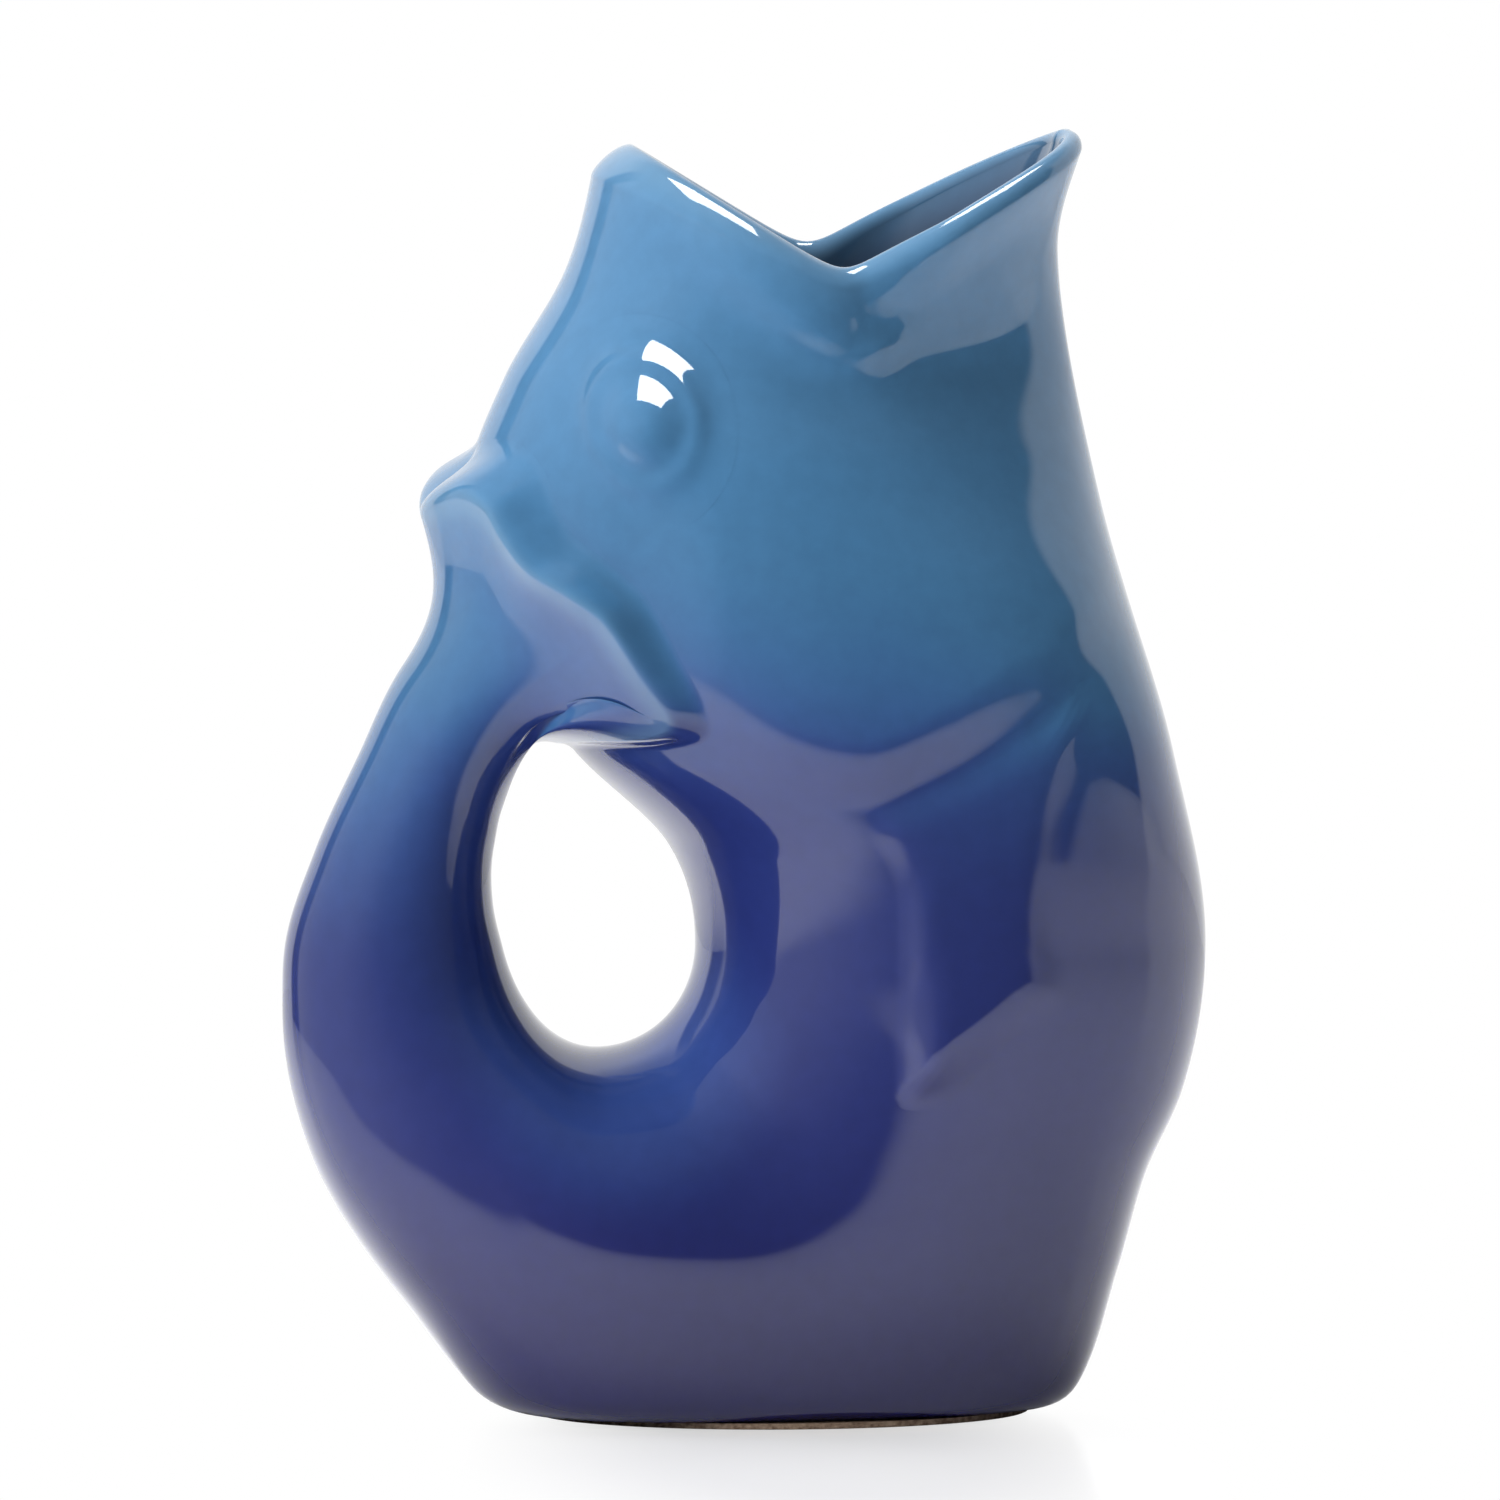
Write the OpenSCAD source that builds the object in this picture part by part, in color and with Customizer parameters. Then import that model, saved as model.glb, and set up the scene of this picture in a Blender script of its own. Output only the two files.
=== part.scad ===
// Gurgle jug: a glazed stoneware fish that stands on its bent body, mouth open upwards.
// The hollow tail loops back to the head as the handle and traps the air that gurgles on pouring.
// Frame: +Z up, +X towards the spout, origin at the centre of the foot on the table. Millimetres.

/* [Mouth] */
// Height of the spout tip above the table
spout_z = 254; // [246:1:262]
// Reach of the spout tip in front of the foot's centre
spout_x = 58.5; // [54:0.5:63]
// Height of the upper lip, which is the rim at the back
lip_z = 251.2; // [244:0.2:258]
// Place of the upper lip behind the foot's centre
lip_x = -37.5; // [-41:0.5:-34]
// Height of the V at the two corners of the mouth
corner_z = 226.5; // [221:0.5:231]
// Place of the two corners of the mouth
corner_x = 9; // [4:0.5:14]
// Width over which the V at each corner is rounded
corner_round = 6; // [3:0.5:10]
// How much the two arms of the V arch upwards, as a share of their rise
rim_arch = 0.24; // [0:0.02:0.4]
// How far the rim turns outwards along the sides
lip_flare = 2.4; // [0:0.2:4]
// Depth below the rim over which it turns outwards
lip_depth = 13; // [8:1:20]
// How far the rim turns outwards beside the spout
spout_flare = 5.5; // [3:0.25:7]
// Depth below the rim over which the spout turns outwards
spout_depth = 30; // [22:1:36]
// How much the front of the rim is drawn in to a point
spout_point = 0.1; // [0.04:0.02:0.2]
// How much the front of the throat is drawn in to a point
throat_point = 0.34; // [0.2:0.02:0.44]
// Thickness of the rolled rim at the upper lip
lip_t = 11; // [8:0.5:12]
// Thickness of the rim at the spout tip
spout_t = 4.4; // [3.8:0.2:6]
// Height of the rim's rounding, as a share of its thickness
rim_rise = 0.62; // [0.4:0.02:0.8]

/* [Body] */
// Height of the fullest part of the body, level with the finger hole
equator_z = 93; // [89:1:97]
// Reach of the belly at its fullest
belly_x = 84; // [80:0.5:88]
// Half of the body's breadth level with the finger hole
belly_y = 52.5; // [50:0.5:56]
// Reach of the breast, below the gill
breast_x = 76.5; // [73:0.5:80]
// Reach of the chest, level with the head
chest_x = 63; // [60:0.5:66]
// Reach of the throat, where the front is drawn in most
throat_x = 54.5; // [52:0.5:57]
// How much the flanks lean outwards with height, in mm per mm
flank_lean = 0.12; // [0.04:0.01:0.16]
// Half of the cheeks' breadth, without the gill covers
cheek_y = 55.5; // [53:0.5:58]
// Half of the head's breadth at the eyes
head_y = 51; // [48.5:0.5:53]
// Half of the mouth's breadth at its corners
mouth_y = 43; // [40:0.5:46]
// Place of the back of the head at its fullest
crown_x = -62.3; // [-66:0.5:-59]
// How much squarer than an ellipse the breast is below the gill covers
breast_square = 1.1; // [0.4:0.1:1.6]
// Thickness of the fired wall
wall = 5; // [4:0.25:6]
// How far the gill cover stands over the flank
gill_lift = 3.2; // [2:0.2:4]
// How far the fold at the corner of the mouth stands out
fold_lift = 3.4; // [1.6:0.2:4]

/* [Foot] */
// Height of the bare clay ring that the jug stands on
foot_h = 1.2; // [0.8:0.1:3]
// Half of the foot ring's length
foot_half_x = 49; // [46:0.5:51]
// Half of the foot ring's breadth
foot_half_y = 35; // [32:0.5:37]
// Width of the foot ring
foot_w = 6; // [4:0.5:9]
// Thickness of the floor inside
floor_t = 6; // [5:0.25:8]
// Radius where the sides turn under to the foot
heel_round = 5; // [3:0.5:7]

/* [Tail] */
// Place of the finger hole's centre
hole_x = -37; // [-39:0.5:-35]
// Radius of the finger hole towards the body
hole_front_r = 20; // [18:0.5:22]
// Radius of the finger hole downwards
hole_low_r = 20.4; // [18.5:0.5:22]
// Radius of the finger hole towards the tail
hole_back_r = 18.5; // [17:0.5:20]
// Distance from the hole's centre to the outside of the tail
tail_reach = 61.5; // [59:0.5:65]
// Half of the tail's breadth where it leaves the body
tail_root_y = 28; // [25:0.5:31]
// Half of the tail's breadth just below its fin
tail_neck_y = 21.5; // [19:0.5:24]
// Turn round the finger hole at which the tail is luted to the body, in degrees
tail_seam = 165; // [158:1:172]

/* [Tail fin] */
// Height of the head below the middle of the fin's crest
fin_top_z = 178.5; // [175:0.5:182]
// Height of the fin's lower edge on the nape
fin_low_z = 132.5; // [130:0.5:135]
// Half of the fin's span, measured round the head from the middle of the nape
fin_span = 51.4; // [46:0.5:56]
// How far the crest of the fin's lip stands off the head
fin_stand = 9.2; // [7:0.2:11]
// Turn of the lip away from the head at its top, in degrees
fin_lean_top = 14; // [8:1:20]
// Turn of the lip away from the head at its sides, in degrees
fin_lean_side = 30; // [20:1:36]

/* [Eyes and pectoral fins] */
// Place of the eyes
eye_x = -30.5; // [-34:0.5:-27]
// Height of the eyes
eye_z = 199; // [194:0.5:204]
// Radius of the raised socket round an eye
socket_r = 21; // [18:0.5:23]
// Radius to which an eyeball's dome is rounded
eye_r = 10.6; // [9:0.2:12]
// Height of an eyeball above the head
eye_lift = 5.6; // [4:0.2:7]
// Edge thickness of the applied eyes and fins
sprig_edge = 0.4; // [0.3:0.1:1]
// Clearance between the head and the eyes, pectoral fins and tail fin that are luted to it
seat_gap = 0.3; // [0.2:0.05:0.5]
// How far a pectoral fin stands off the flank at its upper edge
pectoral_lift = 1; // [0.6:0.1:2]
// Width over which the lower edge of a pectoral fin is rounded off
pectoral_bevel = 8; // [6:0.5:10]
// Width over which its other edges are rounded off
pectoral_side = 4; // [3:0.5:6]

/* [Hidden] */

// Points round a section
SIDES = 48;

GLAZE_LIGHT = [0.31, 0.57, 0.75];
GLAZE_MID = [0.24, 0.44, 0.66];
GLAZE_DEEP = [0.17, 0.21, 0.46];
BARE_CLAY = [0.72, 0.63, 0.53];

LEFT = 1;
RIGHT = -1;

// Profiles of the upright body, as [height, value] stations from the equator up to the rim
breast_z = 132;
cheek_z = 140;
shoulder_z = 165;
chest_z = 181;
crown_z = 183;
brow_z = 205;
throat_z = 230;
front_profile = [
    [equator_z, belly_x], [breast_z, breast_x], [chest_z, chest_x], [throat_z, throat_x], [spout_z, spout_x]
];
back_profile = [
    [equator_z, hole_x + hole_front_r], [113, -22.5], [breast_z, -41.5], [158, -57.5], [crown_z, crown_x],
    [brow_z, -55], [226, -43], [244, -37.8], [264, -35]
];
half_breadth = [
    [equator_z, belly_y], [cheek_z, cheek_y], [190, head_y], [212, head_y - 6], [228, mouth_y],
    [spout_z, mouth_y - 1.5]
];
point_profile = [
    [equator_z, 0], [shoulder_z, 0], [192, throat_point * 0.55], [210, throat_point],
    [228, throat_point * 0.7], [spout_z, spout_point]
];
square_profile = [
    [equator_z, 0], [114, breast_square * 0.4], [cheek_z - 2, breast_square], [160, breast_square * 0.5],
    [188, 0], [spout_z, 0]
];

// Place of the back of the tail at its neck, in side view
tail_neck = [-73.3, 151];

// Outline of the bent body and tail in side view, from the belly round under the foot to the tail's neck.
// The three points below the table only shape the underside, which the foot's plane cuts off.
low_outline = [
    [belly_x, equator_z], [79.5, 64], [72, 47], [66.5, 28], [55.5, 1], [28, -15], [-8, -18], [-38, -12],
    [-57, 1], [-75, 22.8], [-93.5, 52.5], [-99, 80], [hole_x - tail_reach, equator_z], [-92.5, 112],
    [-83.8, 131], tail_neck
];

// Stations by the turn round the finger hole: 0 at the belly, 90 straight down, 180 at the tail
tail_end = turn_and_radius(tail_neck)[0] - 2;
outer_radius = [for (p = low_outline) turn_and_radius(p)];
hole_radius = [
    [0, hole_front_r], [90, hole_low_r], [145, hole_back_r - 0.8], [180, hole_back_r], [204, 22.4],
    [225, 28.5], [tail_end, 33.2]
];
turn_breadth = [
    [0, belly_y], [22, belly_y - 2.4], [50, belly_y - 3.4], [90, 48], [130, 38.5], [165, tail_root_y],
    [195, 23.5], [222, tail_neck_y], [tail_end, tail_neck_y + 0.5]
];
// The bend is fuller towards the finger hole, and its belly side is squarer than an ellipse
hole_side_full = 0.14;
belly_square = 0.6;

// Crest of the tail fin's lip from its top middle to its lower middle. Each station has the place of the head
// below it, as shares of the fin's span and of its height, and the share of the crest's stand off the head.
fin_crest = [
    [0, 1, 1], [0.196, 1.054, 0.99], [0.378, 1.093, 0.98], [0.518, 1.054, 0.98], [0.597, 0.946, 0.96],
    [0.693, 0.826, 0.95], [0.835, 0.728, 0.92], [0.949, 0.609, 0.87], [1, 0.402, 0.7], [1, 0.217, 0.46],
    [0.815, 0.102, 0.28], [0.418, 0.05, 0.16], [0, 0, 0.09]
];
fin_centre_z = (fin_low_z + fin_top_z) / 2;

// Smooth curve through [parameter, value] stations; start is the slope at the first one
function slope(k, i, start) =
    i == 0 ? start :
    i == len(k) - 1 ? (k[i][1] - k[i - 1][1]) / (k[i][0] - k[i - 1][0]) :
    (k[i + 1][1] - k[i - 1][1]) / (k[i + 1][0] - k[i - 1][0]);
function span_of(k, p, i = 0) = i == len(k) - 2 || p <= k[i + 1][0] ? i : span_of(k, p, i + 1);
function curve(k, p, start = 0) =
    let (i = span_of(k, p), h = k[i + 1][0] - k[i][0], t = (p - k[i][0]) / h)
    (1 + 2 * t) * (1 - t) ^ 2 * k[i][1] + t ^ 2 * (3 - 2 * t) * k[i + 1][1]
    + h * t * (1 - t) ^ 2 * slope(k, i, start) + h * t ^ 2 * (t - 1) * slope(k, i + 1, start);

function turn_and_radius(p) =
    let (dx = p[0] - hole_x, dz = p[1] - equator_z)
    [(360 + atan2(-dz, dx)) % 360, norm([dx, dz])];
function clamp01(v) = min(max(v, 0), 1);
function ease(v) = let (t = clamp01(v)) t * t * (3 - 2 * t);
function soft_max(a, b, k) = max(a, b) + max(k - abs(a - b), 0) ^ 2 / (4 * k);
function unit(v) = v / norm(v);

// Rim: a V in side view with arched arms, rounded at the corners of the mouth
function arm(share) = share * (1 + rim_arch * (1 - share));
function rim_z(x) =
    let (back = corner_z + (lip_z - corner_z) * arm((x - corner_x) / (lip_x - corner_x)),
         front = corner_z + (spout_z - corner_z) * arm((x - corner_x) / (spout_x - corner_x)))
    (back + front + sqrt((back - front) ^ 2 + corner_round ^ 2)) / 2;

// Upright body: a level section at height z, phi from the front (0) by the left side (90) to the back (180).
// inset moves the section inwards, so that the inner wall follows the outer one.
function section(z, inset) =
    let (front = curve(front_profile, z) - inset, back = curve(back_profile, z) + inset)
    [(front + back) / 2, (front - back) / 2, curve(half_breadth, z, flank_lean) - inset];
function squared(t, n) = max(1 - abs(t) ^ n, 0) ^ (1 / n);
function upright_shape(t, z) =
    squared(t, 2 + (t > 0 ? curve(square_profile, z) : 0))
    * (1 - curve(point_profile, z) * ((1 + t) / 2) ^ 2);
function upright(z, phi, inset) =
    let (s = section(z, inset), t = cos(phi))
    [s[0] + s[1] * t, s[2] * sign(sin(phi)) * upright_shape(t, z), z];

// Height where the wall meets the rim's rounding, found by closing in on it from the mouth's corners
function rim_t(phi) = (lip_t + spout_t) / 2 - (lip_t - spout_t) / 2 * cos(phi);
function edge_z(phi, z = corner_z, tries = 30) =
    tries == 0 ? z : edge_z(phi, rim_z(upright(z, phi, 0)[0]) - rim_t(phi) * rim_rise, tries - 1);

// Share of the rim's height at a share w of its way in: a soft outer ridge and, at the back, a sloping top
function rim_height(w, phi) =
    let (behind = (1 - cos(phi)) / 2, top = 0.5 + 0.2 * behind)
    w < top
    ? squared(1 - w / top, 2.2) * (1 - 0.45 * behind * (1 - w / top) ^ 1.5)
    : squared((w - top) / (1 - top), 2);

// Bent body and tail: an upright section that turns about the finger hole
function bend(turn) = sin(min(turn, 180)) ^ 2;
function bend_breadth(turn, z) = curve(turn_breadth, turn) + flank_lean * (z - equator_z) * cos(turn / 2) ^ 2;
function bend_shape(turn, t) =
    let (n = 2 + belly_square * bend(turn) * (t > 0 ? 1 : 0))
    squared(t, n) * (1 - hole_side_full * bend(turn) * t);
function turned(turn, phi, inset, low) =
    let (outer = curve(outer_radius, turn) - inset, inner = curve(hole_radius, turn) + inset,
         t = cos(phi), r = (outer + inner) / 2 + (outer - inner) / 2 * t,
         z = equator_z - r * sin(turn))
    [hole_x + r * cos(turn), (bend_breadth(turn, z) - inset) * sign(sin(phi)) * bend_shape(turn, t),
     soft_max(z, low, heel_round)];

// Half breadth of the bare form at a point of its side view
function flank(x, z) =
    z >= equator_z
    ? let (s = section(z, 0), t = min(max((x - s[0]) / s[1], -1), 1))
      s[2] * upright_shape(t, z)
    : let (p = turn_and_radius([x, z]), outer = curve(outer_radius, p[0]), inner = curve(hole_radius, p[0]),
           t = min(max((2 * p[1] - outer - inner) / (outer - inner), -1), 1))
      bend_breadth(p[0], z) * bend_shape(p[0], t);

// Gill cover: the cheek stands over the flank along a sagging edge
gill_edge = [
    [-40, 145], [-23, 136], [-8, 127], [5, 123.5], [16, 124], [30, 130], [42, 137], [55, 145], [70, 158]
];
gill_soft = 15;
gill_back_x = -36;
gill_front_x = 70;
gill_top_z = 215;
gill_fade = 20;
function over_edge(edge, x, z) =
    let (lean = curve(edge, x + 0.5) - curve(edge, x - 0.5))
    (z - curve(edge, x)) / sqrt(1 + lean ^ 2);
function gill(x, z) =
    let (across = ease((x - gill_back_x) / gill_fade) * ease((gill_front_x - x) / (1.5 * gill_fade)),
         upward = ease((gill_top_z - z) / (3 * gill_fade)))
    gill_lift * across * upward * ease(over_edge(gill_edge, x, z) / gill_soft);

// Fold under each corner of the mouth: a ridge along a path of [x, z, share of its lift]
fold_path = [
    [-24, 236, 0.1], [-14, 229.5, 0.5], [-6, 223.5, 0.8], [0, 219, 1], [6, 215.3, 1], [11.5, 213.3, 1],
    [15.5, 214, 0.9], [18, 217, 0.5], [19, 221, 0.1]
];
fold_out = 4;
fold_in = 8;
fold_blend = 1.2;
fold_low_z = 190;
function fold_part(a, b, x, z) =
    let (d = b - a, r = [x - a[0], z - a[1]],
         t = clamp01((r[0] * d[0] + r[1] * d[1]) / (d[0] ^ 2 + d[1] ^ 2)),
         o = r - [d[0], d[1]] * t, away = norm(o), spread = d[0] * o[1] > d[1] * o[0] ? fold_in : fold_out)
    [away, fold_lift * (a[2] + t * d[2]) * exp(-(away / spread) ^ 2 / 2)];
function fold(x, z) =
    z < fold_low_z ? 0 :
    let (parts = [for (i = [1:len(fold_path) - 1]) fold_part(fold_path[i - 1], fold_path[i], x, z)],
         nearest = min([for (p = parts) p[0]]),
         weights = [for (p = parts) exp((nearest - p[0]) / fold_blend)])
    weights * [for (p = parts) p[1]] / (weights * [for (p = parts) 1]);

function relief(x, z) = gill(x, z) + fold(x, z);
relief_start = 20;
function raised(p) =
    let (side = sign(p[1]), share = ease(abs(p[1]) / relief_start))
    [p[0], p[1] + side * share * relief(p[0], p[2]), p[2]];

// A point on the finished flank, its outward normal, and a point lifted off it
function on_flank(x, z, side) = [x, side * (flank(x, z) + relief(x, z)), z];
function flank_normal(x, z, side) =
    let (d = 0.5, du = on_flank(x + d, z, side) - on_flank(x - d, z, side),
         dv = on_flank(x, z + d, side) - on_flank(x, z - d, side))
    unit(side * cross(dv, du));
function lifted(x, z, side, h) = on_flank(x, z, side) + h * flank_normal(x, z, side);

// A point on the back of the head, by its turn round from the middle of the nape and its height
function nape(turn, z) = raised(upright(z, 180 - turn, 0));
function nape_round(turn, z) = (nape(turn + 1, z) - nape(turn - 1, z)) / 2;
function nape_up(turn, z) = nape(turn, z + 0.5) - nape(turn, z - 0.5);
function nape_normal(turn, z) = unit(cross(nape_up(turn, z), nape_round(turn, z)));
function off_nape(turn, z, h) = nape(turn, z) + h * nape_normal(turn, z);

angles = [for (i = [0:SIDES - 1]) 360 * i / SIDES];

// Wall of the body from the tail's seam, round the bend and up to the edge of the rim
function turned_ring(turn, inset, low) = [for (a = angles) raised_if(turned(turn, a, inset, low), inset)];
function raised_if(p, inset) = inset == 0 ? raised(p) : p;
edges = [for (a = angles) edge_z(a)];
function near_rim(z, edge, depth) = clamp01(1 - (edge - z) / depth);
function flare(phi, z, edge) =
    lip_flare * sin(phi) ^ 2 * ease(near_rim(z, edge, lip_depth))
    + spout_flare * ease((cos(phi) - 0.12) / 0.35) * abs(sin(phi)) ^ 0.7
      * near_rim(z, edge, spout_depth) ^ 1.5;
function outer_ring(share) = [
    for (i = [0:SIDES - 1])
        let (z = equator_z + share * (edges[i] - equator_z))
        raised(upright(z, angles[i], -flare(angles[i], z, edges[i])))
];
function inner_ring(share) = [
    for (i = [0:SIDES - 1])
        let (z = equator_z + share * (edges[i] - equator_z),
             thicker = (rim_t(angles[i]) - wall) * ease(near_rim(z, edges[i], lip_depth)))
        upright(z, angles[i], wall + thicker - flare(angles[i], z, edges[i]))
];

// Quads between consecutive rings, as triangles; joined says whether the last ring meets the first
function ring_faces(rings, sides, joined) = [
    for (r = [0:rings - (joined ? 1 : 2)], i = [0:sides - 1])
        let (a = r * sides + i, b = r * sides + (i + 1) % sides, up = ((r + 1) % rings) * sides - r * sides)
        each [[a, a + up, b], [b, a + up, b + up]]
];
function cap_faces(first, sides, centre, turn_over) = [
    for (i = [0:sides - 1])
        let (a = first + i, b = first + (i + 1) % sides)
        turn_over ? [b, a, centre] : [a, b, centre]
];

// A closed shell whose rings run from one end to the other and are closed there by a fan to a point
module ringed(rings, start, finish) {
    sides = len(rings[0]);
    points = [start, each [for (r = rings) each r], finish];
    faces = [
        each cap_faces(1, sides, 0, false),
        each [for (f = ring_faces(len(rings), sides, false)) f + [1, 1, 1]],
        each cap_faces(1 + (len(rings) - 1) * sides, sides, len(points) - 1, true)
    ];
    polyhedron(points, faces);
}

upright_shares = [for (i = [1:24]) (i / 24) ^ 0.9];
inner_shares = [for (i = [14:-1:0]) (i / 14) ^ 0.8];
// Rings stand closer where the outline turns: at the two ends of the foot and up the belly
outer_turns = [
    for (i = [0:6]) tail_seam - (tail_seam - 110) * i / 6,
    105, 101, 97, 90, 82, 74, 66, 59, 53, 49, 46, 43, 40, 36, 31, 26, 21, 15, 8
];
inner_turns = [for (i = [len(outer_turns) - 2:-2:0]) outer_turns[i]];

module body_shell() {
    outer_edge = outer_ring(1);
    inner_edge = inner_ring(1);
    rim = [
        for (a = [30:30:150])
            let (w = (1 - cos(a)) / 2)
            [for (i = [0:SIDES - 1])
                outer_edge[i] + (inner_edge[i] - outer_edge[i]) * w
                + [0, 0, rim_t(angles[i]) * rim_rise * rim_height(w, angles[i])]]
    ];
    rings = [
        for (t = outer_turns) turned_ring(t, 0, foot_h),
        turned_ring(0, 0, foot_h),
        for (s = upright_shares) outer_ring(s),
        each rim,
        for (s = inner_shares) inner_ring(s),
        for (t = inner_turns) turned_ring(t, wall, foot_h + floor_t)
    ];
    color(GLAZE_MID)
        polyhedron([for (r = rings) each r], ring_faces(len(rings), SIDES, true));
}

// Hollow tail: open to the body at its root and to the hollow of its fin at the top
TAIL_STEPS = 8;
tail_turns = [for (i = [0:TAIL_STEPS]) tail_end - (tail_end - tail_seam) * i / TAIL_STEPS];
duct_turns = [for (i = [TAIL_STEPS:-1:0]) tail_turns[i]];

module tail_handle() {
    rings = [
        for (t = tail_turns) turned_ring(t, 0, 0),
        for (t = duct_turns) turned_ring(t, wall, 0)
    ];
    color(GLAZE_DEEP)
        polyhedron([for (r = rings) each r], ring_faces(len(rings), SIDES, true));
}

// Tail fin: a bell that flares from the tail's end to a lip, which rolls over on to the back of the head.
// The hollow of the tail runs on into it and ends one wall's thickness off the head.
BELL_STEPS = 9;
LIP_STEPS = 5;
HOLLOW_STEPS = 5;
fin_hollow = 0.3;
lip_least = 1.5;
lip_share = 0.95;
function along_stations(k, i, p) = curve([for (j = [0:len(k) - 1]) [j, k[j][i]]], p, k[1][i] - k[0][i]);
function degrees_round(span, z) = span / curve(half_breadth, z, flank_lean) * 180 / PI;
function crest_place(phi) =
    let (p = (phi > 180 ? 360 - phi : phi) / 180 * (len(fin_crest) - 1),
         z = fin_low_z + (fin_top_z - fin_low_z) * along_stations(fin_crest, 1, p),
         turn = degrees_round(fin_span * along_stations(fin_crest, 0, p), z))
    [phi > 180 ? -turn : turn, z, fin_stand * along_stations(fin_crest, 2, p)];
function crest_foot(phi) = let (c = crest_place((phi + 360) % 360)) nape(c[0], c[1]);

// A meridian of the fin: its edge's place on the head, the edge, its direction, the crest and its direction
function fin_meridian(phi) =
    let (c = crest_place(phi), n = nape_normal(c[0], c[1]), round_ = nape_round(c[0], c[1]),
         up = nape_up(c[0], c[1]), outward = unit(cross(crest_foot(phi + 2) - crest_foot(phi - 2), n)),
         upper = max(cos(phi), 0) ^ 4, reach = (lip_least + lip_share * c[2]) * (1 + 0.3 * upper),
         step = [outward * round_ / (round_ * round_), outward * up / (up * up)],
         place = [c[0], c[1]] + step * reach,
         edge = off_nape(place[0], place[1], seat_gap),
         further = off_nape(place[0] + step[0] / 2, place[1] + step[1] / 2, seat_gap),
         lean = fin_lean_top + (fin_lean_side - fin_lean_top) * sin(phi) ^ 2)
    [place, edge, unit(further - edge), off_nape(c[0], c[1], c[2]),
     outward * cos(lean) + n * sin(lean), reach];
fin_meridians = [for (a = angles) fin_meridian(a)];

function bezier(a, b, c, d, t) =
    (1 - t) ^ 3 * a + 3 * t * (1 - t) ^ 2 * b + 3 * t ^ 2 * (1 - t) * c + t ^ 3 * d;
function lip_point(m, t) = bezier(m[3], m[3] + m[4] * m[5] * 0.4, m[1] - m[2] * m[5] * 0.5, m[1], t);
function bell_point(m, phi, t) =
    let (root = turned(tail_end, phi, 0, 0), along = unit(root - turned(tail_end - 1, phi, 0, 0)),
         run = norm(m[3] - root))
    bezier(root, root + along * run * 0.45, m[3] - m[4] * run * 0.42, m[3], t);
function seat_place(m, share) = [m[0][0] * share, fin_centre_z + (m[0][1] - fin_centre_z) * share];
function fin_seat(share) = [
    for (m = fin_meridians)
        let (p = seat_place(m, share))
        off_nape(p[0], p[1], seat_gap)
];
function hollow_point(m, phi, t) =
    let (root = turned(tail_end, phi, wall, 0), along = unit(root - turned(tail_end - 1, phi, wall, 0)),
         p = seat_place(m, fin_hollow), out = nape_normal(p[0], p[1]), seat = off_nape(p[0], p[1], wall),
         run = norm(seat - root) * 0.4)
    bezier(root, root + along * run, seat + out * wall, seat, t);

module tail_fin() {
    seat_rings = [for (s = [0.18, 0.36, 0.54, 0.72, 0.87]) fin_seat(s)];
    lip_rings = [for (j = [LIP_STEPS:-1:1]) [for (m = fin_meridians) lip_point(m, j / LIP_STEPS)]];
    bell_rings = [
        for (j = [BELL_STEPS:-1:0])
            [for (i = [0:SIDES - 1]) bell_point(fin_meridians[i], angles[i], j / BELL_STEPS)]
    ];
    hollow_rings = [
        for (j = [0:HOLLOW_STEPS])
            [for (i = [0:SIDES - 1]) hollow_point(fin_meridians[i], angles[i], j / HOLLOW_STEPS)]
    ];
    color(GLAZE_MID)
        ringed([each seat_rings, each lip_rings, each bell_rings, each hollow_rings],
               off_nape(0, fin_centre_z, seat_gap), off_nape(0, fin_centre_z, wall));
}

// Eye: a dome in a soft raised ring, pressed on to the side of the head
EYE_SIDES = 24;
socket_rise = 1;
socket_lift = 0.6;
socket_crest = 0.61;
socket_soft = 3.8;
eye_blend = 2.8;
function eye_height(r) =
    let (ball = eye_lift - eye_r + sqrt(max(eye_r ^ 2 - r ^ 2, 0)),
         ring = socket_rise * ease((socket_r - r) / 10)
                + socket_lift * exp(-((r - socket_r * socket_crest) / socket_soft) ^ 2 / 2))
    soft_max(ball, ring * ease((socket_r - r) / 6), eye_blend);
eye_profile = [
    for (s = [1, 0.88, 0.76, 0.64, 0.53, 0.43, 0.33, 0.22, 0.1])
        [socket_r * s, max(eye_height(socket_r * s), seat_gap + sprig_edge)]
];
function eye_ring(r, side, h) =
    let (n = flank_normal(eye_x, eye_z, side))
    [for (i = [0:EYE_SIDES - 1])
        let (a = -side * 360 * i / EYE_SIDES)
        lifted(eye_x + r * cos(a) * abs(n[1]), eye_z + r * sin(a), side, h)];

module eye(side) {
    seat = [for (s = [0.35, 0.7, 1]) eye_ring(socket_r * s, side, seat_gap)];
    dome = [for (p = eye_profile) eye_ring(p[0], side, p[1])];
    color(GLAZE_LIGHT)
        ringed([each seat, each dome], lifted(eye_x, eye_z, side, seat_gap),
               lifted(eye_x, eye_z, side, eye_height(0)));
}
module left_eye() { eye(LEFT); }
module right_eye() { eye(RIGHT); }

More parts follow.
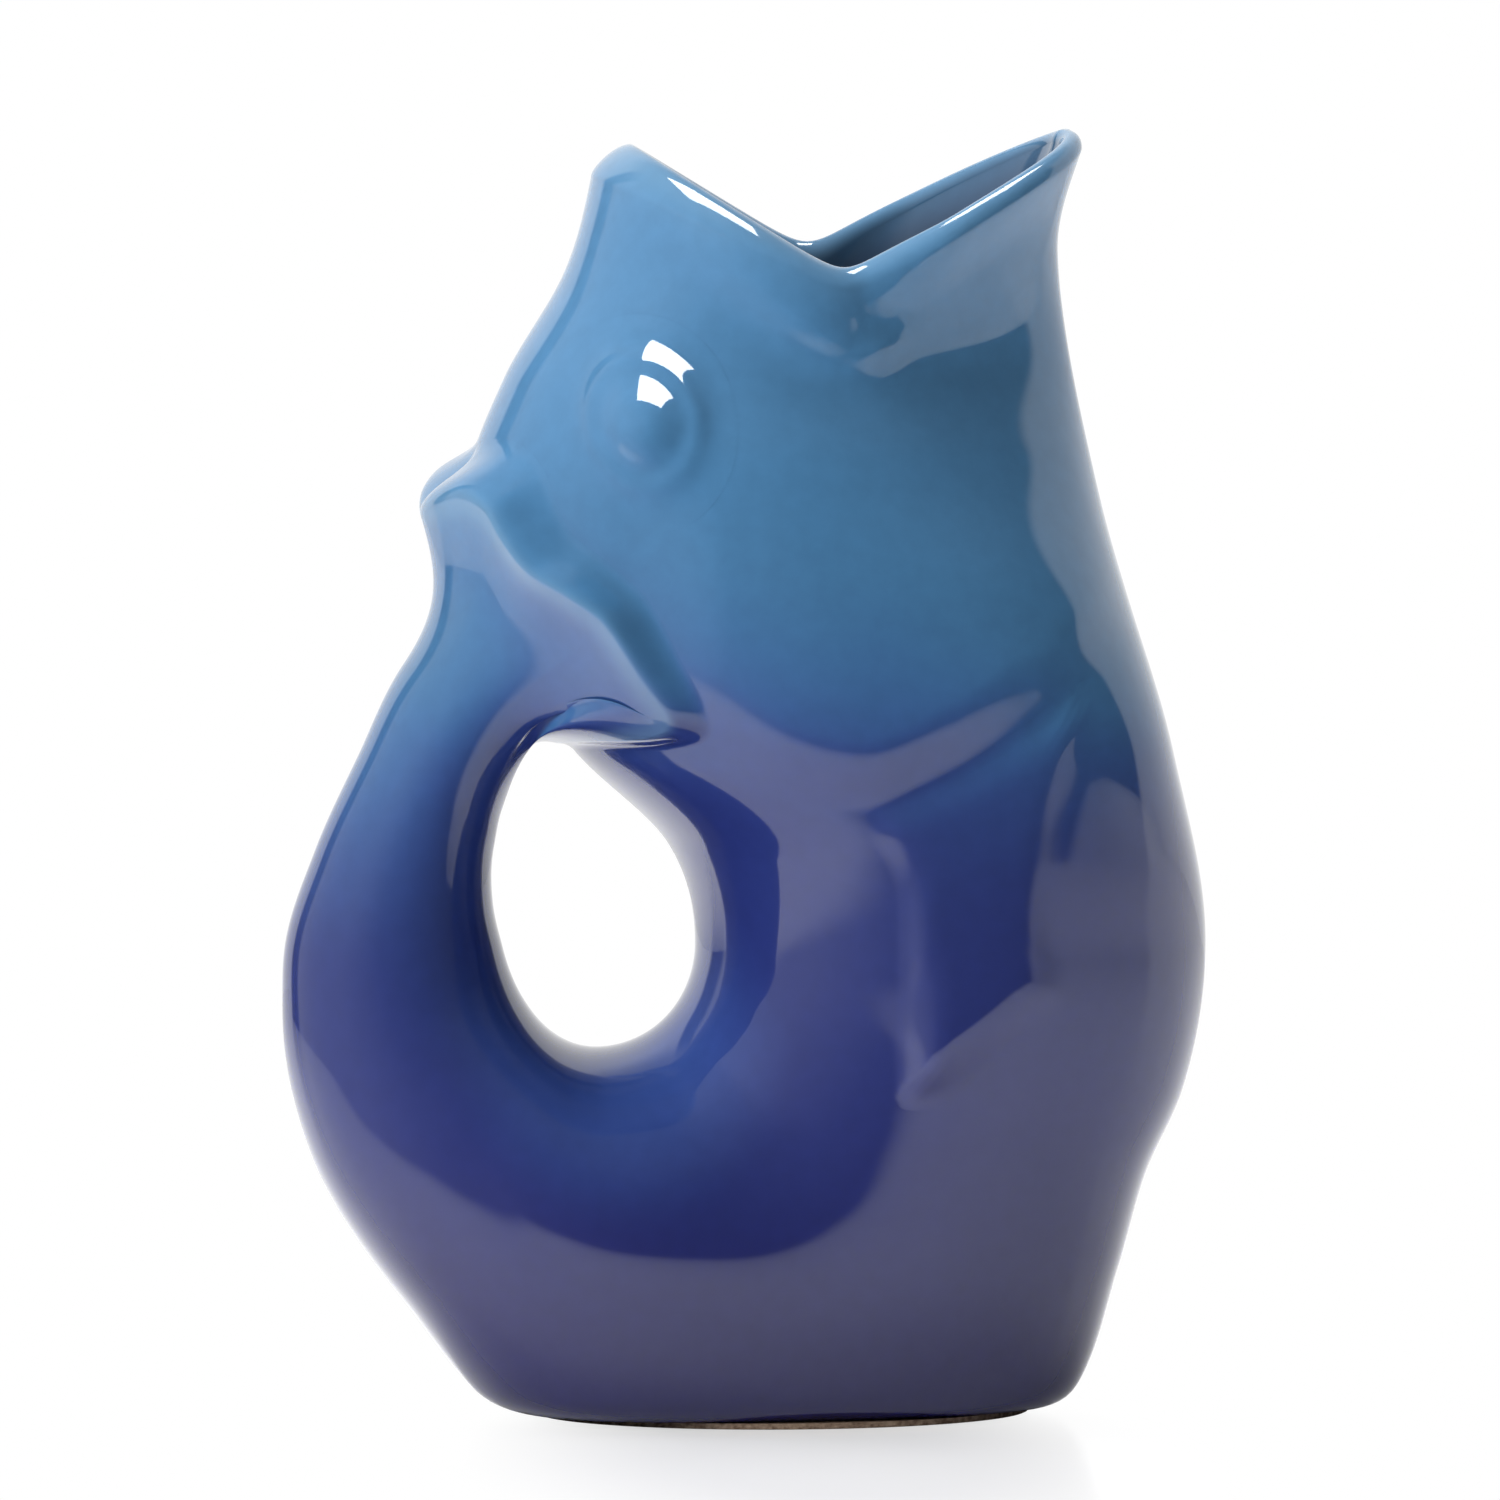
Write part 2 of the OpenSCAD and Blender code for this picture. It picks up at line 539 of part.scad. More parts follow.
// Pectoral fin: a leaf that hangs nearly plumb from under the gill while the flank below it draws in
pectoral_outline = [
    [12.5, 122.5], [29, 131], [42.5, 139], [55, 146.5], [53, 132], [49, 121], [47.5, 111], [47.5, 98],
    [49, 86], [42, 79.5], [33, 72.5], [24, 66.5], [17.5, 66], [17.5, 76], [20.5, 92], [19, 111]
];
PECTORAL_SIDES = 32;
PECTORAL_POINTS = len(pectoral_outline);
function pectoral_edge(i) =
    let (q = PECTORAL_POINTS * i / PECTORAL_SIDES, k = floor(q) % PECTORAL_POINTS, t = q - floor(q),
         p = [for (j = [-1:2]) pectoral_outline[(k + j + PECTORAL_POINTS) % PECTORAL_POINTS]])
    (p[1] * 2 + (p[2] - p[0]) * t + (2 * p[0] - 5 * p[1] + 4 * p[2] - p[3]) * t ^ 2
     + (3 * p[1] - p[0] - 3 * p[2] + p[3]) * t ^ 3) / 2;
pectoral_middle = [33.5, 104];
pectoral_hang_z = 128;
pectoral_lean = 0.02;
pectoral_blend = 1;
function pectoral_at(i, share) = pectoral_middle + (pectoral_edge(i) - pectoral_middle) * share;
function pectoral_stand(p) =
    let (plumb = flank(p[0], pectoral_hang_z) + pectoral_lean * (pectoral_hang_z - p[1]))
    pectoral_lift + soft_max(plumb - flank(p[0], p[1]), 0, pectoral_blend) - pectoral_blend / 4;
function from_edge(p) = min([
    for (i = [0:PECTORAL_POINTS - 1])
        let (a = pectoral_outline[i], d = pectoral_outline[(i + 1) % PECTORAL_POINTS] - a,
             t = clamp01((p - a) * d / (d * d)))
        norm(p - a - d * t)
]);
function bevel_at(p) =
    let (r = p - pectoral_middle, down = -r[1] / max(norm(r), 1))
    pectoral_side + (pectoral_bevel - pectoral_side) * ease((down - 0.55) / 0.4);
function pectoral_height(p) =
    max(pectoral_stand(p) * ease(from_edge(p) / bevel_at(p)), seat_gap + sprig_edge);
function pectoral_ring(share, side, raise) = [
    for (j = [0:PECTORAL_SIDES - 1])
        let (i = side > 0 ? j : (PECTORAL_SIDES - j) % PECTORAL_SIDES, p = pectoral_at(i, share))
        lifted(p[0], p[1], side, raise ? pectoral_height(p) : seat_gap)
];

module pectoral_fin(side) {
    seat = [for (s = [0.3, 0.6, 0.85, 1]) pectoral_ring(s, side, false)];
    face = [for (s = [1, 0.93, 0.86, 0.78, 0.68, 0.45, 0.2]) pectoral_ring(s, side, true)];
    m = pectoral_middle;
    color(GLAZE_MID)
        ringed([each seat, each face], lifted(m[0], m[1], side, seat_gap),
               lifted(m[0], m[1], side, pectoral_height(m)));
}
module left_pectoral_fin() { pectoral_fin(LEFT); }
module right_pectoral_fin() { pectoral_fin(RIGHT); }

// Foot ring: bare clay under the glazed body
module foot_outline(inset) {
    polygon([for (i = [0:71]) [(foot_half_x - inset) * cos(5 * i), (foot_half_y - inset) * sin(5 * i)]]);
}
module foot_ring() {
    color(BARE_CLAY)
        linear_extrude(foot_h)
            difference() {
                foot_outline(0);
                foot_outline(foot_w);
            }
}

body_shell();
tail_handle();
tail_fin();
left_eye();
right_eye();
left_pectoral_fin();
right_pectoral_fin();
foot_ring();
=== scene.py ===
import math
import bpy
import numpy as np
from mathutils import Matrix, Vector


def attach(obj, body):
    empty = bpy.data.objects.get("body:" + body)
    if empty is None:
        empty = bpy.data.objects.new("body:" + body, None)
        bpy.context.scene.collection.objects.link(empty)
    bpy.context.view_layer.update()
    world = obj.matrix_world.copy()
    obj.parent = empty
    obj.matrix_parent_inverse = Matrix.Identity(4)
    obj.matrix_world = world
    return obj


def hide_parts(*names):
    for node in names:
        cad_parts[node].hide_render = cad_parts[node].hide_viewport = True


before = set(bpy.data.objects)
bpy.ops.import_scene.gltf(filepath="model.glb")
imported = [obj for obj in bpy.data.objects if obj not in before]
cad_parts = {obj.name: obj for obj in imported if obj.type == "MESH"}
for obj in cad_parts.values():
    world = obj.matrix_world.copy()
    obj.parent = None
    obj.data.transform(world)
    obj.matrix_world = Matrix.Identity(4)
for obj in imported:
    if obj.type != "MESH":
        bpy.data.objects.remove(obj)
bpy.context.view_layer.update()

# Sizes are in millimetres, mostly under the names of the part's source, and turn to metres in a mesh.
MM = 0.001

# Mouth
SPOUT_Z, SPOUT_X = 254.0, 58.5
LIP_Z, LIP_X = 251.2, -37.5
CORNER_Z, CORNER_X, CORNER_ROUND, RIM_ARCH = 226.5, 9.0, 6.0, 0.24
LIP_FLARE, LIP_DEPTH = 2.4, 13.0
SPOUT_FLARE, SPOUT_DEPTH, SPOUT_CURVE = 5.5, 30.0, 1.5
LIP_T, SPOUT_T, RIM_RISE = 11.0, 4.4, 0.62
SPOUT_POINT, THROAT_POINT = 0.10, 0.34

# Meridians that turn out below the spout: the cosine where that starts, the step to its full share, and
# the power of the sine that takes it off the middle
SPOUT_START, SPOUT_GROW, SPOUT_SIDE = 0.12, 0.35, 0.7

# Ridge of the rim as a share of the rim's thickness, how much further in it lies at the back, and its
# roundness; then the slope of the rim's top at the back
RIDGE, RIDGE_BACK, RIDGE_ROUND = 0.5, 0.2, 2.2
RIM_SLOPE, RIM_SLOPE_CURVE = 0.45, 1.5

# Guess and rounds by which the height of the wall's edge below the rim is found
EDGE_GUESS, EDGE_ROUNDS = 240.0, 40

# Body
EQUATOR_Z = 93.0
BELLY_X, BELLY_Y = 84.0, 52.5
BREAST_X, CHEST_X, THROAT_X = 76.5, 63.0, 54.5
CHEEK_Y, HEAD_Y, MOUTH_Y = 55.44, 51.0, 43.0
CROWN_X = -62.3
FLANK_LEAN = 0.12
BREAST_SQUARE = 1.1
WALL = 5.0

# Gill cover and fold, whose relief grows from the middle plane to RELIEF_START
GILL_LIFT, GILL_SOFT = 3.2, 15.0
GILL_BACK_X, GILL_BACK_FADE = -36.0, 20.0
GILL_FRONT_X, GILL_FRONT_FADE = 78.0, 24.0
GILL_TOP_Z, GILL_TOP_FADE = 215.0, 60.0
FOLD_LIFT, FOLD_OUT, FOLD_IN, FOLD_BLEND, FOLD_SAMPLES = 3.4, 4.0, 8.0, 1.2, 36
RELIEF_START = 20.0

# Foot
FOOT_H, FOOT_HALF_X, FOOT_HALF_Y, FOOT_W = 1.2, 49.0, 35.0, 6.0
FOOT_EDGE, FOOT_EDGE_ROUND = 0.5, 0.3
FLOOR_T, HEEL_ROUND = 6.0, 5.0

# Tail and its fin
HOLE_X = -37.0
HOLE_FRONT_R, HOLE_LOW_R, HOLE_BACK_R = 20.0, 20.4, 18.5
HOLE_SIDE_FULL, BELLY_SQUARE = 0.14, 0.6
TAIL_REACH = 61.5
TAIL_ROOT_Y, TAIL_NECK_Y = 28.0, 21.5
TAIL_SEAM, TAIL_END = 165.0, 236.0
FIN_TOP_Z, FIN_LOW_Z, FIN_SPAN = 178.5, 132.5, 51.4
FIN_CENTRE_Z = (FIN_TOP_Z + FIN_LOW_Z) / 2
FIN_STAND, FIN_LEAN_TOP, FIN_LEAN_SIDE, FIN_ROLL_LOW = 9.2, 14.0, 30.0, 55.0

# Reach of the fin's lip beyond its crest: the least, the share of the stand, and the share added at the top
LIP_LEAST, LIP_SHARE, LIP_TOP_SHARE, LIP_TOP_POWER = 1.5, 0.95, 0.3, 4

# Pull of the curves at the lip's crest and edge and at the bell's root and crest, as shares of their reach
LIP_CREST_PULL, LIP_EDGE_PULL = 0.4, 0.5
BELL_ROOT_PULL, BELL_CREST_PULL = 0.45, 0.42

# Rings of the fin's seat on the head, as shares of its crest, and the tip of the tail's hollow above its end
SEAT_SHARES = (0.3, 0.6, 0.85)
HOLLOW_TIP = (4, 0, 8)

# Eyes: a dome that is wider and softer on its upper side, on a low base with a ring
EYE_X, EYE_Z = -30.5, 199.0
EYE_LIFT, EYE_SPREAD, EYE_SPREAD_UP = 5.2, 9.2, 1.2
EYE_POWER, EYE_POWER_UP = 2.6, 0.6
SOCKET_R, SOCKET_RISE, SOCKET_SLOPE, SOCKET_FADE = 21.0, 0.5, 10.0, 6.0
SOCKET_LIFT, SOCKET_CREST_R, SOCKET_SOFT = 0.8, 11.8, 1.8

# Pectoral fins, whose bevel is wider on the lower side
PECTORAL_LIFT, PECTORAL_HANG_Z, PECTORAL_LEAN, PECTORAL_BLEND = 0.7, 128.0, -0.05, 1.0
PECTORAL_BEVEL, PECTORAL_SIDE = 9.0, 6.5
PECTORAL_DOWN, PECTORAL_DOWN_GROW = 0.55, 0.4
PECTORAL_SOFT, PECTORAL_SOFT_TURNS = 1.8, 6

# Reliefs on the flank: their least lift and their depth below the surface; then the shares of the rings of
# their base, of the ring outside their edge that only gives normals, and of the last ring before their peak
SKIN, SPRIG_DEPTH = 0.03, 1.5
SPRIG_BASE, SPRIG_PAST, SPRIG_LAST = (0.3, 0.65, 1.0), 1.02, 0.02

# Profiles of the upright body as (height, value), from the equator to the rim
FRONT = [(EQUATOR_Z, BELLY_X), (132, BREAST_X), (181, CHEST_X), (230, THROAT_X), (SPOUT_Z, SPOUT_X)]
BACK = [(EQUATOR_Z, HOLE_X + HOLE_FRONT_R), (113, -22.5), (132, -41.5), (158, -57.5), (183, CROWN_X),
        (205, -55), (226, -43), (244, -37.8), (264, -35)]
BREADTH = [(EQUATOR_Z, BELLY_Y), (140, CHEEK_Y), (190, HEAD_Y), (212, HEAD_Y - 6), (228, MOUTH_Y),
           (SPOUT_Z, MOUTH_Y - 1.5)]
POINT = [(EQUATOR_Z, 0), (165, 0), (192, THROAT_POINT * 0.55), (210, THROAT_POINT),
         (228, THROAT_POINT * 0.7), (SPOUT_Z, SPOUT_POINT)]
SQUARE = [(EQUATOR_Z, 0), (114, BREAST_SQUARE * 0.4), (138, BREAST_SQUARE), (160, BREAST_SQUARE * 0.5),
          (188, 0), (SPOUT_Z, 0)]

# Outline of the bend and tail in side view, from the belly under the foot to the tail's neck; then the
# radius of the finger hole and the half breadth, by the turn about the hole in degrees
LOW_OUTLINE = [(BELLY_X, EQUATOR_Z), (79.5, 64), (72, 47), (66.5, 28), (55.5, 1), (28, -15), (-8, -18),
               (-38, -12), (-57, 1), (-75, 22.8), (-93.5, 52.5), (-98.95, 80),
               (HOLE_X - TAIL_REACH, EQUATOR_Z), (-92.5, 112), (-83.8, 131), (-73.3, 151)]
HOLE_RADIUS = [(0, HOLE_FRONT_R), (90, HOLE_LOW_R), (145, HOLE_BACK_R - 0.8), (180, HOLE_BACK_R),
               (204, 22.4), (225, 28.5), (TAIL_END, 33.2)]
TURN_BREADTH = [(0, BELLY_Y), (22, BELLY_Y - 2.4), (50, BELLY_Y - 3.4), (90, 48), (130, 38.5),
                (165, TAIL_ROOT_Y), (195, 23.5), (222, TAIL_NECK_Y), (TAIL_END, TAIL_NECK_Y + 0.5)]

# Crest of the tail fin's lip from its top middle to its lower middle: the place of the head below it, as
# shares of the fin's span and of its height, and the share of the crest's stand off the head
FIN_CREST = [(0, 1, 1), (0.196, 1.054, 0.99), (0.378, 1.093, 0.98), (0.518, 1.054, 0.98),
             (0.597, 0.946, 0.96), (0.693, 0.826, 0.95), (0.835, 0.728, 0.92), (0.949, 0.609, 0.87),
             (1, 0.402, 0.7), (1, 0.225, 0.5), (0.83, 0.135, 0.36), (0.42, 0.09, 0.28), (0, 0.045, 0.25)]

# Lower edge of the gill cover as (x, z), crest of the fold under the mouth's corner as (x, z, share of its
# lift), and outline and middle of the pectoral fin as (x, z)
GILL_EDGE = [(-40, 145), (-23, 136), (-8, 127), (5, 123.5), (16, 124), (30, 130), (42, 137), (55, 145),
             (70, 158)]
FOLD_PATH = [(-24, 236, 0.1), (-14, 229.5, 0.5), (-6, 223.5, 0.8), (0, 219, 1.0), (6, 215.3, 1.0),
             (11.5, 213.3, 1.0), (15.5, 214, 0.9), (18, 217, 0.5), (19, 221, 0.1)]
PECTORAL_OUTLINE = [(11, 123), (29, 132.5), (42.5, 140.5), (57, 149), (55.5, 132), (52, 121), (51, 111),
                    (51, 98), (53, 85.5), (45.5, 78), (36, 70.5), (27, 64.5), (18, 65), (16.5, 77), (17, 92),
                    (16, 110)]
PECTORAL_MIDDLE = np.array([33.5, 104.0])

# Small step, in millimetres or degrees, over which slopes are found
SLOPE_STEP = 0.5

# Mesh steps
SIDES = 288
UPRIGHT_STEPS, TURN_STEPS, TAIL_STEPS = 210, 190, 90
FIN_STEPS, LIP_STEPS, RIM_STEPS = 60, 24, 28
INNER_STEPS, DUCT_STEPS = 90, 30
CREST_WINDOW = 12
EYE_STEPS, EYE_SIDES = 90, 160
PECTORAL_STEPS, PECTORAL_SIDES, PECTORAL_LINE_STEPS = 110, 224, 128


# Curves and vectors

def curve(stations, p, start=0.0):
    """Smooth curve through (parameter, value) stations; start is the slope at the first one."""
    x, v = np.array(stations, float).T
    slope = np.empty(len(x))
    slope[0] = start
    slope[1:-1] = (v[2:] - v[:-2]) / (x[2:] - x[:-2])
    slope[-1] = (v[-1] - v[-2]) / (x[-1] - x[-2])
    i = np.clip(np.searchsorted(x, p) - 1, 0, len(x) - 2)
    h = x[i + 1] - x[i]
    t = (p - x[i]) / h
    return ((1 + 2 * t) * (1 - t) ** 2 * v[i] + t ** 2 * (3 - 2 * t) * v[i + 1]
            + h * t * (1 - t) ** 2 * slope[i] + h * t ** 2 * (t - 1) * slope[i + 1])


def path_curve(points, p):
    """Smooth curve through points, one array for each of their numbers; p counts the points."""
    steps = np.arange(len(points))
    return [curve(np.stack([steps, values], axis=1), p, values[1] - values[0]) for values in zip(*points)]


def bezier(a, b, c, d, t):
    return (1 - t) ** 3 * a + 3 * t * (1 - t) ** 2 * b + 3 * t ** 2 * (1 - t) * c + t ** 3 * d


def ease(v):
    t = np.clip(v, 0, 1)
    return t * t * (3 - 2 * t)


def bell_curve(v):
    return np.exp(-v ** 2)


def soft_max(a, b, k):
    return np.maximum(a, b) + np.maximum(k - np.abs(a - b), 0) ** 2 / (4 * k)


def squared(t, n):
    """Quarter of a rounded square: from 1 at t = 0 to 0 at t = 1, a circle at n = 2."""
    return np.maximum(1 - np.abs(t) ** n, 0) ** (1 / n)


def unit(v):
    return v / np.maximum(np.linalg.norm(v, axis=-1, keepdims=True), 1e-9)


def stack(x, y, z):
    return np.stack(np.broadcast_arrays(x, y, z), axis=-1)


# Bare form of the body and tail

def turn_and_radius(x, z):
    dx, dz = x - HOLE_X, z - EQUATOR_Z
    return np.degrees(np.arctan2(-dz, dx)) % 360, np.hypot(dx, dz)


OUTER_RADIUS = [turn_and_radius(x, z) for x, z in LOW_OUTLINE]


def rim_z(x):
    """Height of the rim in side view: a V with arched arms, rounded at the corners of the mouth."""
    backward, forward = (x - CORNER_X) / (LIP_X - CORNER_X), (x - CORNER_X) / (SPOUT_X - CORNER_X)
    back = CORNER_Z + (LIP_Z - CORNER_Z) * backward * (1 + RIM_ARCH * (1 - backward))
    front = CORNER_Z + (SPOUT_Z - CORNER_Z) * forward * (1 + RIM_ARCH * (1 - forward))
    return (back + front + np.sqrt((back - front) ** 2 + CORNER_ROUND ** 2)) / 2


def section(z, inset):
    """Middle, half length and half breadth of the upright body's section at a height."""
    front = curve(FRONT, z) - inset
    back = curve(BACK, z) + inset
    return (front + back) / 2, (front - back) / 2, curve(BREADTH, z, FLANK_LEAN) - inset


def upright_shape(t, z):
    """Share of the half breadth at t, from -1 at the back to 1 at the front, where the throat draws in."""
    n = 2 + curve(SQUARE, z) * (t > 0)
    return squared(t, n) * (1 - curve(POINT, z) * ((1 + t) / 2) ** 2)


def sides(phi):
    return np.sign(np.sin(phi).round(9))


def upright(z, phi, inset):
    """A point of the upright body: phi runs from the front by the left side to the back."""
    middle, half, breadth = section(z, inset)
    t = np.cos(phi)
    return stack(middle + half * t, breadth * sides(phi) * upright_shape(t, z), z)


def bend(turn):
    return np.sin(np.radians(np.minimum(turn, 180))) ** 2


def bend_breadth(turn, z):
    return curve(TURN_BREADTH, turn) + FLANK_LEAN * (z - EQUATOR_Z) * np.cos(np.radians(turn / 2)) ** 2


def bend_shape(turn, t):
    n = 2 + BELLY_SQUARE * bend(turn) * (t > 0)
    return squared(t, n) * (1 - HOLE_SIDE_FULL * bend(turn) * t)


def turned(turn, phi, inset, low):
    """A point of the bent body and tail, on a section that turns about the finger hole."""
    outer = curve(OUTER_RADIUS, turn) - inset
    inner = curve(HOLE_RADIUS, turn) + inset
    t = np.cos(phi)
    r = (outer + inner) / 2 + (outer - inner) / 2 * t
    a = np.radians(turn)
    z = EQUATOR_Z - r * np.sin(a)
    y = (bend_breadth(turn, z) - inset) * sides(phi) * bend_shape(turn, t)
    return stack(HOLE_X + r * np.cos(a), y, soft_max(z, low, HEEL_ROUND))


def flank(x, z):
    """Half breadth of the bare form at a point of its side view."""
    high = np.maximum(z, EQUATOR_Z)
    middle, half, breadth = section(high, 0)
    t = np.clip((x - middle) / half, -1, 1)
    above = breadth * upright_shape(t, high)
    turn, r = turn_and_radius(x, z)
    outer, inner = curve(OUTER_RADIUS, turn), curve(HOLE_RADIUS, turn)
    t = np.clip((2 * r - outer - inner) / (outer - inner), -1, 1)
    below = bend_breadth(turn, z) * bend_shape(turn, t)
    return np.where(z >= EQUATOR_Z, above, below)


# Relief of the gill covers and folds

def over_edge(edge, x, z):
    """Distance above an edge that is drawn in side view as stations of (x, z)."""
    d = SLOPE_STEP
    lean = (curve(edge, x + d) - curve(edge, x - d)) / (2 * d)
    return (z - curve(edge, x)) / np.sqrt(1 + lean ** 2)


def gill(x, z):
    across = ease((x - GILL_BACK_X) / GILL_BACK_FADE) * ease((GILL_FRONT_X - x) / GILL_FRONT_FADE)
    upward = ease((GILL_TOP_Z - z) / GILL_TOP_FADE)
    return GILL_LIFT * across * upward * ease(over_edge(GILL_EDGE, x, z) / GILL_SOFT)


def fold(x, z):
    """A soft ridge along the fold's crest, steeper on its lower side."""
    px, pz, share = path_curve(FOLD_PATH, np.linspace(0, len(FOLD_PATH) - 1, FOLD_SAMPLES))
    dx, dz = np.diff(px), np.diff(pz)
    rx, rz = x[..., None] - px[:-1], z[..., None] - pz[:-1]
    t = np.clip((rx * dx + rz * dz) / (dx * dx + dz * dz), 0, 1)
    ox, oz = rx - t * dx, rz - t * dz
    away = np.hypot(ox, oz)
    spread = np.where(dx * oz - dz * ox > 0, FOLD_IN, FOLD_OUT)
    lift = FOLD_LIFT * (share[:-1] + t * np.diff(share)) * np.exp(-(away / spread) ** 2 / 2)
    weight = np.exp((away.min(axis=-1, keepdims=True) - away) / FOLD_BLEND)
    return (lift * weight).sum(axis=-1) / weight.sum(axis=-1)


def relief(x, z):
    return gill(x, z) + fold(x, z)


def raised(p):
    x, y, z = np.moveaxis(p, -1, 0)
    lift = np.sign(y) * ease(np.abs(y) / RELIEF_START) * relief(x, z)
    return stack(x, y + lift, z)


def on_flank(x, z, side):
    x, z = np.broadcast_arrays(np.asarray(x, float), np.asarray(z, float))
    return stack(x, side * (flank(x, z) + relief(x, z)), z)


def flank_normal(x, z, side):
    d = 0.4
    du = on_flank(x + d, z, side) - on_flank(x - d, z, side)
    dv = on_flank(x, z + d, side) - on_flank(x, z - d, side)
    return unit(side * np.cross(dv, du))


def nape(turn, z):
    """A point on the back of the head, by its turn round from the middle of the nape and its height."""
    return raised(upright(z, np.pi - turn, 0))


def nape_slopes(turn, z):
    """How the nape moves with the turn round it, in millimetres a radian, and with the height."""
    d, h = 0.01, SLOPE_STEP
    round_ = (nape(turn + d, z) - nape(turn - d, z)) / (2 * d)
    up = (nape(turn, z + h) - nape(turn, z - h)) / (2 * h)
    return round_, up


# Mesh building

def ring_normals(rings):
    """Smooth normals of a run of rings, from their neighbours."""
    along = np.gradient(rings, axis=0)
    round_ = np.roll(rings, -1, axis=1) - np.roll(rings, 1, axis=1)
    return unit(np.cross(round_, along))


def band_faces(count, sides, joined, flat_bands):
    """Faces between neighbouring rings, and for each one whether it is shaded by its own normal."""
    i = np.arange(sides)
    j = (i + 1) % sides
    faces, flat = [], []
    for r in range(count if joined else count - 1):
        a, b = r * sides, ((r + 1) % count) * sides
        faces.append(np.stack([a + i, a + j, b + j, b + i], axis=1))
        flat.append(np.full(sides, r in flat_bands))
    return np.concatenate(faces).tolist(), np.concatenate(flat).tolist()


def shade(mesh, vert_normals, flat):
    mesh.polygons.foreach_set("use_smooth", [True] * len(mesh.polygons))
    loop_normals = []
    for face, is_flat in zip(mesh.polygons, flat):
        own = face.normal[:]
        loop_normals.extend(own if is_flat else vert_normals[v] for v in face.vertices)
    mesh.normals_split_custom_set([tuple(n) for n in loop_normals])
    mesh.validate()


def in_scene(name, data):
    made = bpy.data.objects.new(name, data)
    bpy.context.scene.collection.objects.link(made)
    return made


def solid(name, rings, normals, joined=False, start=None, finish=None, flat_bands=(), marks=None):
    """A closed mesh from rings, with the given normals. flat_bands are shaded by their own faces, and marks
    hold values for each ring that the glaze reads."""
    count, sides = rings.shape[:2]
    verts, vert_normals = rings.reshape(-1, 3), normals.reshape(-1, 3)
    faces, flat = band_faces(count, sides, joined, flat_bands)
    for centre, ring, order in ((start, 0, (1, 0)), (finish, count - 1, (0, 1))):
        if centre is None:
            continue
        verts = np.vstack([verts, centre])
        vert_normals = np.vstack([vert_normals, [0, 0, 1]])
        for k in range(sides):
            pair = (ring * sides + k, ring * sides + (k + 1) % sides)
            faces.append([pair[order[0]], pair[order[1]], len(verts) - 1])
            flat.append(True)
    mesh = bpy.data.meshes.new(name)
    mesh.from_pydata((verts * MM).tolist(), [], faces)
    shade(mesh, vert_normals, flat)
    for mark, values in (marks or {}).items():
        spread = np.zeros(len(mesh.vertices), np.float32)
        spread[:count * sides] = np.repeat(values, sides)
        mesh.attributes.new(mark, "FLOAT", "POINT").data.foreach_set("value", spread)
    return in_scene(name, mesh)


# Rim and walls on each meridian PHI, from the front by the left side to the back

PHI = np.arange(SIDES) * 2 * np.pi / SIDES
BACKWARD = (1 - np.cos(PHI)) / 2
SPOUT_TURN = ease((np.cos(PHI) - SPOUT_START) / SPOUT_GROW) * np.abs(np.sin(PHI)) ** SPOUT_SIDE


def rim_thickness(phi):
    return (LIP_T + SPOUT_T) / 2 - (LIP_T - SPOUT_T) / 2 * np.cos(phi)


def rim_height(w):
    """Share of the rim's height at a share w of its way in: a soft ridge and, at the back, a sloping top."""
    top = RIDGE + RIDGE_BACK * BACKWARD
    out = np.clip(1 - w / top, 0, 1)
    back = np.clip((w - top) / (1 - top), 0, 1)
    tilt = 1 - RIM_SLOPE * BACKWARD * out ** RIM_SLOPE_CURVE
    return np.where(w < top, squared(out, RIDGE_ROUND) * tilt, squared(back, 2))


def edge_heights():
    z = np.full(SIDES, EDGE_GUESS)
    for _ in range(EDGE_ROUNDS):
        z = rim_z(upright(z, PHI, 0)[:, 0]) - rim_thickness(PHI) * RIM_RISE
    return z


EDGE_Z = edge_heights()


def near_rim(z, depth):
    return np.clip(1 - (EDGE_Z - z) / depth, 0, 1)


def flare(z):
    """How far the wall turns outwards towards the rim: a little at the sides, more below the spout."""
    side = LIP_FLARE * np.sin(PHI) ** 2 * ease(near_rim(z, LIP_DEPTH))
    return side + SPOUT_FLARE * SPOUT_TURN * near_rim(z, SPOUT_DEPTH) ** SPOUT_CURVE


def outer_upright(share):
    z = EQUATOR_Z + share * (EDGE_Z - EQUATOR_Z)
    return raised(upright(z, PHI, -flare(z)))


def inner_upright(share):
    z = EQUATOR_Z + share * (EDGE_Z - EQUATOR_Z)
    thicker = (rim_thickness(PHI) - WALL) * ease(near_rim(z, LIP_DEPTH))
    return upright(z, PHI, WALL + thicker - flare(z))


def turned_rings(turns, inset, low):
    rings = np.array([turned(t, PHI, inset, low) for t in turns])
    return rings if inset else raised(rings)


def rim_rings():
    start, end = outer_upright(1), inner_upright(1)
    ways = (1 - np.cos(np.linspace(0, np.pi, RIM_STEPS + 1)[1:-1])) / 2
    return np.array([start + (end - start) * w + stack(0, 0, rim_thickness(PHI) * RIM_RISE * rim_height(w))
                     for w in ways])


# Tail fin

def fin_crest(phi):
    """Place of the fin's crest on each meridian as a turn and height on the head, and its stand off it."""
    a = np.where(phi > np.pi, 2 * np.pi - phi, phi) / np.pi * (len(FIN_CREST) - 1)
    span, height, stand = path_curve(FIN_CREST, a)
    z = FIN_LOW_Z + (FIN_TOP_Z - FIN_LOW_Z) * height
    turn = FIN_SPAN * span / curve(BREADTH, z, FLANK_LEAN)
    return np.where(phi > np.pi, -turn, turn), z, FIN_STAND * stand


